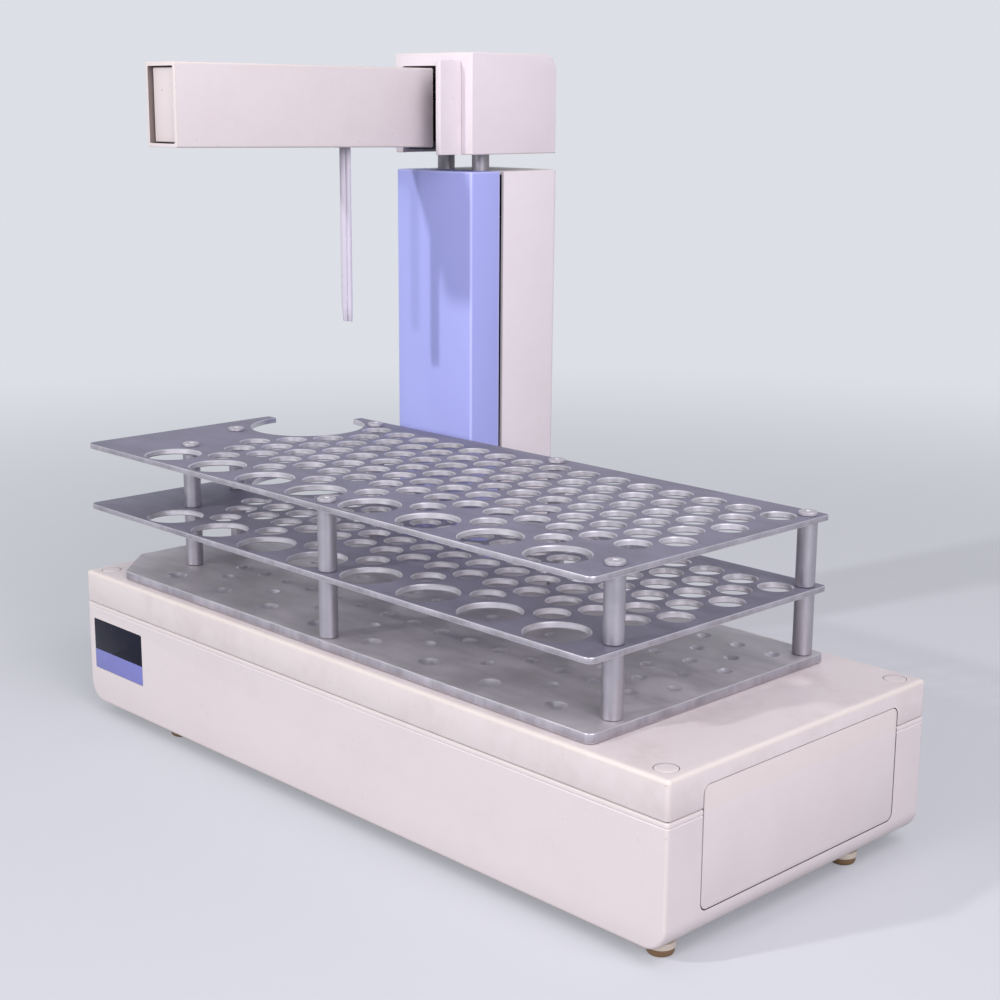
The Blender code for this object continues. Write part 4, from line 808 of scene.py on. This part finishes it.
def plate_blank(name, low, high, left, right, front, rear, face=tray_metal):
    """Sheet with rounded corners and lightly broken edges."""
    plate = block(name, (left, front, low), (right, rear, high))
    rear_right = running(Z, (X, right), (Y, rear))
    bevel(lambda edge: along(edge, Z) and not rear_right(edge), sheet_radius, 6)
    bevel(rear_right, small_sheet_radius, 4)
    bevel(lying((Z, low), (Z, high)), sheet_edge, 2)
    wear(plate, face, bare_and_highlight_metal, side_metal)
    # The broken edges wear the bright cut metal: bare metal with a painted highlight.
    for polygon in plate.data.polygons:
        rise = abs(polygon.normal.z)
        polygon.material_index = 0 if rise > 0.9 else 1 if rise > 0.1 else 2
    return plate


def bite_tools(low, high):
    """The round bite at the rear left, and the corner beyond it."""
    bite = turned("bite", flared(bite_radius, bite_edge, low, high), 96, bite_centre)
    corner_low = (tray_left - overrun, bite_corner[Y], low - overrun)
    corner = tool(corner_low, (bite_corner[X], tray_rear + overrun, high + overrun))
    for piece in (bite, corner):
        wear(piece, bare_and_highlight_metal)
    return bite, corner


def perforated(name, low, post_hole, cad_node):
    high = low + sheet
    plate = plate_blank(name, low, high, tray_left, tray_right, tray_front, tray_rear)
    posts = repeated(turned("drill", flared(post_hole, post_hole_edge, low, high), 32), post_places)
    small = repeated(turned("drill", flared(small_radius, flare, low, high), 40), small_places)
    large = repeated(turned("drill", flared(large_radius, flare, low, high), 64), large_places)
    carve(plate, *bite_tools(low, high), posts, small, large)
    dress(plate, "tray", "tray_metal", None, cad_node, angle=25)


perforated("tray_top", top_low, 0.0030, "tray_top_plate")
perforated("tray_middle", middle_low, 0.0052, "tray_middle_plate")

# %% [markdown]
# The bottom plate is thicker and has a shallow drilled dimple under every hole, which centres the tube's
# round end. A turned bowl makes the dimple. The plate's front left corner is cut off at an angle.

# %% Bottom plate of the tray
def dimple_tool(radius, depth, top):
    """A shallow turned bowl."""
    shares = (0.08, 0.3, 0.5, 0.7, 0.86, 1.0)
    bowl = [(share * radius, top - depth * (1 - share * share)) for share in shares]
    return turned("dimple", (*bowl, (radius + past, top + past)), 32)


def make_bottom_plate():
    low, high = 0.1049, 0.1109
    front, left = base_middle - 0.1092, -0.265
    chamfer_x, chamfer_y, beyond = 0.0325, 0.0337, 0.05
    plate = plate_blank("tray_bottom", low, high, left, tray_right, front, tray_rear, base_metal)
    wedge_low = (left - beyond, front - beyond, low - overrun)
    wedge = block("wedge", wedge_low, (left, front + chamfer_y, high + overrun))
    pick("verts", lambda vert: vert.co.x > left - TOUCH and vert.co.y < front)
    bpy.ops.transform.translate(value=((chamfer_y + beyond) * chamfer_x / chamfer_y, 0, 0))
    wear(wedge, bare_and_highlight_metal)
    small = repeated(dimple_tool(0.0048, 0.0024, high), small_places)
    large = repeated(dimple_tool(0.0068, 0.0028, high), large_places)
    carve(plate, wedge, small, large)
    dress(plate, "tray", "tray_metal", None, "tray_base_plate", angle=30)


make_bottom_plate()

# %% [markdown]
# The posts are turned spacers: one from the bottom plate to the middle one, and one from there to the
# top, on one stud. Each end has a small chamfer. A low round screw head holds the top plate down.

# %% Posts and screw heads
post_radius = 0.0060
post_profile = [(0.0038, 0.1071), (0.0038, 0.1111), (0.0056, 0.1111), (post_radius, 0.1115)]
post_profile += [(post_radius, 0.1486), (0.0056, 0.1490), (0.0048, 0.1490), (0.0048, 0.1533)]
post_profile += [(0.0056, 0.1533), (post_radius, 0.1537), (post_radius, 0.1923), (0.0056, 0.1927)]
for number, post in enumerate(scatter(turned("post", post_profile), post_places), 1):
    dress(post, "tray", "post_metal", post_metal, f"tray_post_{number}")

head_profile = [(0.0024, 0.1915), (0.0024, 0.1971), (0.0055, 0.1971), (0.0058, 0.1973), (0.0058, 0.1988)]
head_profile += [(0.0056, 0.1991), (0.0052, 0.1993), (0.0022, 0.1993), (0.0020, 0.1991), (0.0018, 0.1986)]
for number, screw in enumerate(scatter(turned("screw", head_profile, 36), post_places), 1):
    dress(screw, "tray", "steel", cap_metal, f"post_screw_{number}")

# %% [markdown]
# ## The column
#
# The column is made of two covers with a narrow gap between them: a blue one in front, and a white one
# behind with rounder corners. Both are hollow, and the rods of the lift leave through holes in the top.
# A low window in the front one lets the carriage's arm in, and the rear one leans back a little, as the
# photograph suggests.

# %% Column covers
rod_radius, rod_gap, rod_reach, rod_y = 0.00635, 0.0008, 0.0187, 0.10435
rod_places = [(tower_x - rod_reach, rod_y), (tower_x + rod_reach, rod_y)]
column_wall, front_radius, rear_radius, column_lean = 0.0025, 0.0021, 0.006, 0.0028
window_half, window_bottom, window_top = 0.0205, 0.0315, 0.0545
ceiling = column_top - column_wall


def rod_holes():
    """Cutters for the holes through which the rods leave the column."""
    hole_radius = rod_radius + rod_gap
    profile = ((hole_radius, ceiling - 0.002), (hole_radius, column_top + overrun))
    return scatter(turned("rod_hole", profile, 64), rod_places)


def column_half(name, box, outside, radius, steps, split):
    """A block with a radius on its outer corners, and small edges at its ends and along the split."""
    cover = block(name, *box)
    bevel(running(Z, (Y, outside)), radius, steps)
    bevel(lying((Z, column_top), (Z, column_bottom)), 0.0007, 3)
    bevel(running(Z, (Y, split)), 0.0005, 2)
    return cover


def make_column_front():
    cover = column_half("column_front", front_box, column_front, front_radius, 5, split_front)
    low, high = (column_wall, column_wall, -overrun), (column_wall, -overrun, column_wall)
    inner = tool(*drawn_in(front_box, low, high), Z, 0.0008, 2)
    window_low = (tower_x - window_half, column_front - overrun, window_bottom)
    window = tool(window_low, (tower_x + window_half, column_front + 0.0035, window_top), Y, 0.002)
    carve(cover, inner, window, *rod_holes())
    dress(cover, "tower", "column_blue", column_blue, "column_front_cover", angle=40)


def lean(reach):
    """Draws the top of the open piece to the rear, most at its rear wall."""
    for share, front in ((0.4, split_rear - 0.001), (0.6, column_rear - 0.01)):
        pick("verts", lambda vert: vert.co.z > column_top - 0.002 and vert.co.y > front)
        bpy.ops.transform.translate(value=(0, share * reach, 0))


def make_column_rear():
    cover = column_half("column_rear", rear_box, column_rear, rear_radius, 8, split_rear)
    lean(column_lean)
    inner = block("tool", *drawn_in(rear_box, (column_wall, -overrun, -overrun), (column_wall,) * 3))
    bevel(running(Z, (Y, column_rear - column_wall)), rear_radius - column_wall, 6)
    carve(cover, inner, *rod_holes())
    dress(cover, "tower", "casing", column_plastic, "column_rear_cover", angle=40)


make_column_front()
make_column_rear()

# %% [markdown]
# Two ground steel rods carry the head. Only their upper ends show, but they are modelled whole, because
# the head may rise and bring them out of the column.

# %% Lift rods
rod_low, rod_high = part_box("lift_rod_left")[0][Z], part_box("lift_rod_left")[1][Z]
rod_chamfer = 0.0006
rod_profile = [(rod_radius - rod_chamfer, rod_low), (rod_radius, rod_low + rod_chamfer)]
rod_profile += [(rod_radius, rod_high - rod_chamfer), (rod_radius - rod_chamfer, rod_high)]
rods = scatter(turned("lift_rod", rod_profile, 64), rod_places)
for rod, side in zip(rods, ("left", "right")):
    dress(rod, "head", "steel", rod_steel, f"lift_rod_{side}")

# %% [markdown]
# ## The head and the arm
#
# The head is a box without a floor. Its long rear edge has a large radius. The front has a mouth for the
# root of the arm, and beside the mouth a narrow upright slot for a plate that stands out at the arm's
# side. The arm is a tube that tapers slightly, with a slot below for the probe.

# %% Head
head_wall, head_radius = 0.0025, 0.012
mouth_low, mouth_high = tower_x - half_head + 0.0083, tower_x + half_head - 0.0164
cheek_left, cheek_right = -0.1379, -0.13285
cheek_front, cheek_rear, cheek_top = column_front - 0.0199, 0.13425, 0.4625
cheek_step, tongue_top = column_front - 0.0003, 0.4594


def make_head():
    left, right = tower_x - half_head, tower_x + half_head
    head = block("head_cover", *head_box)
    bevel(running(X, (Y, head_rear), (Z, head_top)), head_radius, 12)
    bevel(lying((Y, column_front), (X, left), (X, right)), 0.0009, 3)
    inner_rear, inner_top = head_rear - head_wall, head_top - head_wall
    inner = block("tool", *drawn_in(head_box, (head_wall, head_wall, -overrun), (head_wall,) * 3))
    bevel(running(X, (Y, inner_rear), (Z, inner_top)), head_radius - head_wall, 10)
    front, back, below = column_front - overrun, column_front + overrun, head_bottom - 0.003
    mouth = tool((mouth_low, front, below), (mouth_high, back, tongue_top), Y, 0.0012, 3)
    slot_high = (cheek_right + 0.0003, back, tongue_top + 0.0003)
    slot = tool((mouth_high - 0.002, front, below), slot_high, Y, 0.0012, 3)
    carve(head, inner, mouth, slot)
    dress(head, "head", "casing", head_plastic, "head_cover", angle=40)


def make_cheek():
    cheek_low = (cheek_left, cheek_front, head_bottom)
    cheek = block("arm_cheek", cheek_low, (cheek_right, cheek_step, cheek_top))
    bevel(running(X, (Y, cheek_front), (Z, cheek_top)), 0.0014, 4)
    bevel(running(X, (Y, cheek_step), (Z, cheek_top)), 0.0024, 5)
    bevel(sharp, 0.0004, 2)
    tongue = tool((cheek_left, cheek_step - overrun, head_bottom), (cheek_right, cheek_rear, tongue_top))
    carve(cheek, tongue, operation="UNION")
    dress(cheek, "head", "casing", head_plastic, "arm_cheek", angle=40)


make_head()
make_cheek()

# %% [markdown]
# The arm starts as a straight bar, and moving the corners of its free end makes the taper. A smaller bar
# made in the same way hollows it out, so that the wall stays even. The block closes the free end.

# %% Arm
arm_wall, arm_slot_half, arm_slot_end = 0.0025, 0.0065, 0.03225
root_low, root_high = 0.4017, 0.4576
tip_low, tip_high = 0.4044, 0.4583
end_left, end_right, end_inset = -0.1902, -0.1643, 0.0033
end_front, end_back = arm_tip + 0.003, arm_tip + 0.007


def arm_bar(name, inset, radius, steps):
    """The arm's tapering bar; a smaller and longer one cuts the hollow."""
    stretch = inset / arm_wall * overrun
    low = (arm_x - arm_half + inset, arm_tip - stretch, root_low + inset)
    high = (arm_x + arm_half - inset, arm_root + stretch, root_high - inset)
    bar = block(name, low, high)
    bevel(running(Y), radius, steps)
    middle = (root_low + root_high) / 2
    pick("verts", lambda vert: vert.co.y < 0 and vert.co.z < middle)
    bpy.ops.transform.translate(value=(0, 0, tip_low - root_low))
    pick("verts", lambda vert: vert.co.y < 0 and vert.co.z > middle)
    bpy.ops.transform.translate(value=(0, 0, tip_high - root_high))
    return bar


def make_arm():
    arm = arm_bar("arm", 0.0, 0.0013, 5)
    bevel(lying((Y, arm_tip), (Y, arm_root)), 0.0004, 2)
    wear(arm, arm_plastic)
    inner = arm_bar("tool", arm_wall, 0.0008, 2)
    # The hollow's walls take painted shade.
    wear(inner, painted_shade_plastic)
    slot_low = (arm_x - arm_slot_half, end_back, root_low - overrun)
    slot_high = (arm_x + arm_slot_half, arm_slot_end, tip_low + arm_wall + 0.001)
    slot = tool(slot_low, slot_high, Z, 0.003)
    carve(arm, inner, slot)
    dress(arm, "head", "casing", None, "arm_housing", angle=35)


def make_arm_end():
    end_low = (end_left, end_front, tip_low + end_inset)
    end = block("arm_end", end_low, (end_right, end_back, tip_high - end_inset))
    bevel(sharp, 0.0006, 3)
    dress(end, "head", "casing", end_plastic, "arm_end_block", angle=40)


make_arm()
make_arm_end()

# %% [markdown]
# The probe hangs from the slot under the arm. It is a long barrel with a thinner one at its side, and
# both taper towards the needle at the bottom.

# %% Probe
barrel_low, barrel_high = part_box("probe_holder")[0][Z], 0.4029
shoulder = barrel_low + 0.0098
barrel_profile = [(0.0021, barrel_low), (0.0023, barrel_low + 0.0004), (0.0031, shoulder - 0.0006)]
barrel_profile += [(0.0034, shoulder + 0.0006), (0.0034, barrel_high - 0.0004), (0.0030, barrel_high)]
barrel = turned("probe_barrel", barrel_profile, place=(arm_x, probe_y))
side_profile = [(0.0013, barrel_low), (0.0015, barrel_low + 0.0003), (0.0018, shoulder)]
side_profile += [(0.0018, barrel_high - 0.0003)]
side_barrel = turned("side_barrel", side_profile, 32, (arm_x + 0.0044, probe_y))
carve(barrel, side_barrel, operation="UNION")
dress(barrel, "probe", "probe", probe_white, "probe_holder", angle=40)

# %% [markdown]
# ## What stays as it is in the frame
#
# The parts inside the casings and the connectors on the left end keep their solids. Each gets a finish of
# its own, because the openings let the light in and a part may be taken out of the model alone.

# %% Finishes of the inner parts
finishes = {
    black_plastic: ["power_inlet", "power_switch"],
    post_metal: ["serial_port", "x_motor_pulley", "x_idler_pulley", "y_motor_pulley", "y_idler_pulley"],
    rail_steel: ["x_rail", "y_rail", "z_screw"],
    frame_metal: ["x_carriage", "column_frame", "guide_block", "lift_nut", "head_frame", "probe_carriage"],
    motor_paint: ["x_motor", "y_motor", "z_motor"],
    belt_rubber: ["x_belt", "y_belt"],
}
for look, names in finishes.items():
    for name in names:
        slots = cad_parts[name].data.materials
        slots.clear()
        slots.append(look)
print(sum(len(names) for names in finishes.values()), "inner parts finished")

# %% [markdown]
# ## Floor, light and camera
#
# The floor is a plain pale grey that takes the object's shadow. Far out it glows by itself for the rays of
# the camera, of reflections and of glass, so that it meets the background without a line. The world has
# the same pale colour for those rays, and gives the object a weaker, plain light from all around.

# %% Floor and world
studio_pale = (0.72, 0.74, 0.79)
ambient = 0.47
near_edge, far_edge = 0.5, 1.9


def seen_directly(tree):
    """1 for camera, glossy and transmission rays, else 0."""
    path = node(tree, "ShaderNodeLightPath").outputs
    seen = maths(tree, "ADD", path["Is Camera Ray"], path["Is Glossy Ray"])
    return maths(tree, "ADD", seen, path["Is Transmission Ray"], clamp=True)


def make_floor():
    deselect()
    bpy.ops.mesh.primitive_plane_add(size=40, location=(0, 0, 0))
    floor = bpy.context.object
    floor.name = floor.data.name = "floor"
    material, tree, shader, place = start_material("pale floor", 0.8, level=0.0)
    seen = seen_directly(tree)
    away = node(tree, "ShaderNodeVectorMath", {0: place}, operation="LENGTH").outputs["Value"]
    far = ramp(tree, away, near_edge, far_edge)
    near_colour = mixed(tree, far, (0.50, 0.51, 0.55), (0, 0, 0))
    feed(tree, shader, mixed(tree, seen, (0.35, 0.35, 0.36), near_colour))
    shader.inputs["Emission Strength"].default_value = 1.0
    glow = times(tree, ramp(tree, away, near_edge, far_edge, 0.2, 1.0), seen)
    tree.links.new(mixed(tree, glow, (0, 0, 0), studio_pale), shader.inputs["Emission Color"])
    floor.data.materials.append(material)


def make_world():
    world = bpy.data.worlds.new("studio")
    bpy.context.scene.world = world
    world.use_nodes = True
    tree = world.node_tree
    tree.nodes.clear()
    seen = seen_directly(tree)
    strength = maths(tree, "ADD", times(tree, seen, 1 - ambient), ambient)
    colour = mixed(tree, seen, (0.98, 0.98, 1.0), studio_pale)
    background = node(tree, "ShaderNodeBackground", {"Color": colour, "Strength": strength})
    leave = tree.nodes.new("ShaderNodeOutputWorld")
    tree.links.new(background.outputs[0], leave.inputs[0])


make_floor()
make_world()

# %% [markdown]
# Two lamps in front, one low and one higher on the left, give the two narrow shadows that the probe
# throws on the column. Two larger ones at the right light the ends and tops softly, with a faint violet
# tint. A lamp's power follows from the level it should give at its distance, and none of them shows.

# %% Lamps
aim = Vector((0, 0, 0.25))


def lamp(name, direction, level, distance, size, colour=(1.0, 1.0, 1.0)):
    """A round lamp that faces the object; its power follows from its level and distance."""
    data = bpy.data.lights.new(name, "AREA")
    data.shape = "DISK"
    data.size = size
    data.color = colour
    data.energy = level * pi * pi * distance * distance
    piece = bpy.data.objects.new(name, data)
    towards = Vector(direction).normalized()
    piece.location = towards * distance + aim
    piece.rotation_euler = towards.to_track_quat("Z", "Y").to_euler()
    piece.visible_camera = False
    bpy.context.scene.collection.objects.link(piece)


right_tint = (0.97, 0.93, 1.0)
lamp("front_left", (-0.2338, -0.8547, 0.4633), 0.38, 3.0, 0.16)
lamp("front_low", (0.0463, -0.981, 0.190), 0.15, 3.0, 0.22)
lamp("right", (0.85, -0.38, 0.36), 0.50, 3.0, 1.8, right_tint)
lamp("upper_right", (0.9, -0.1, 1.05), 0.27, 1.38, 0.7, right_tint)

# %% [markdown]
# The camera stands where the photograph was taken from. Its place, its direction and its lens were solved
# from the corners of the base, the tray and the head.

# %% Camera
def make_camera(place, azimuth, pitch, roll, lens):
    data = bpy.data.cameras.new("camera")
    data.sensor_width = 36
    data.lens = lens
    data.clip_start, data.clip_end = 0.01, 50
    camera = bpy.data.objects.new("camera", data)
    forward = Vector((-sin(azimuth) * cos(pitch), cos(azimuth) * cos(pitch), -sin(pitch)))
    right = forward.cross(Vector((0, 0, 1))).normalized()
    up = right.cross(forward)
    tilted_right = right * cos(roll) + up * sin(roll)
    tilted_up = up * cos(roll) - right * sin(roll)
    turn = Matrix((tilted_right, tilted_up, -forward)).transposed()
    camera.matrix_world = Matrix.Translation(place) @ turn.to_4x4()
    bpy.context.scene.collection.objects.link(camera)
    bpy.context.scene.camera = camera


make_camera((0.8004, -0.7892, 0.4349), radians(45.907), radians(12.923), radians(0.315), 62.62)
bpy.context.scene.view_settings.view_transform = "Standard"
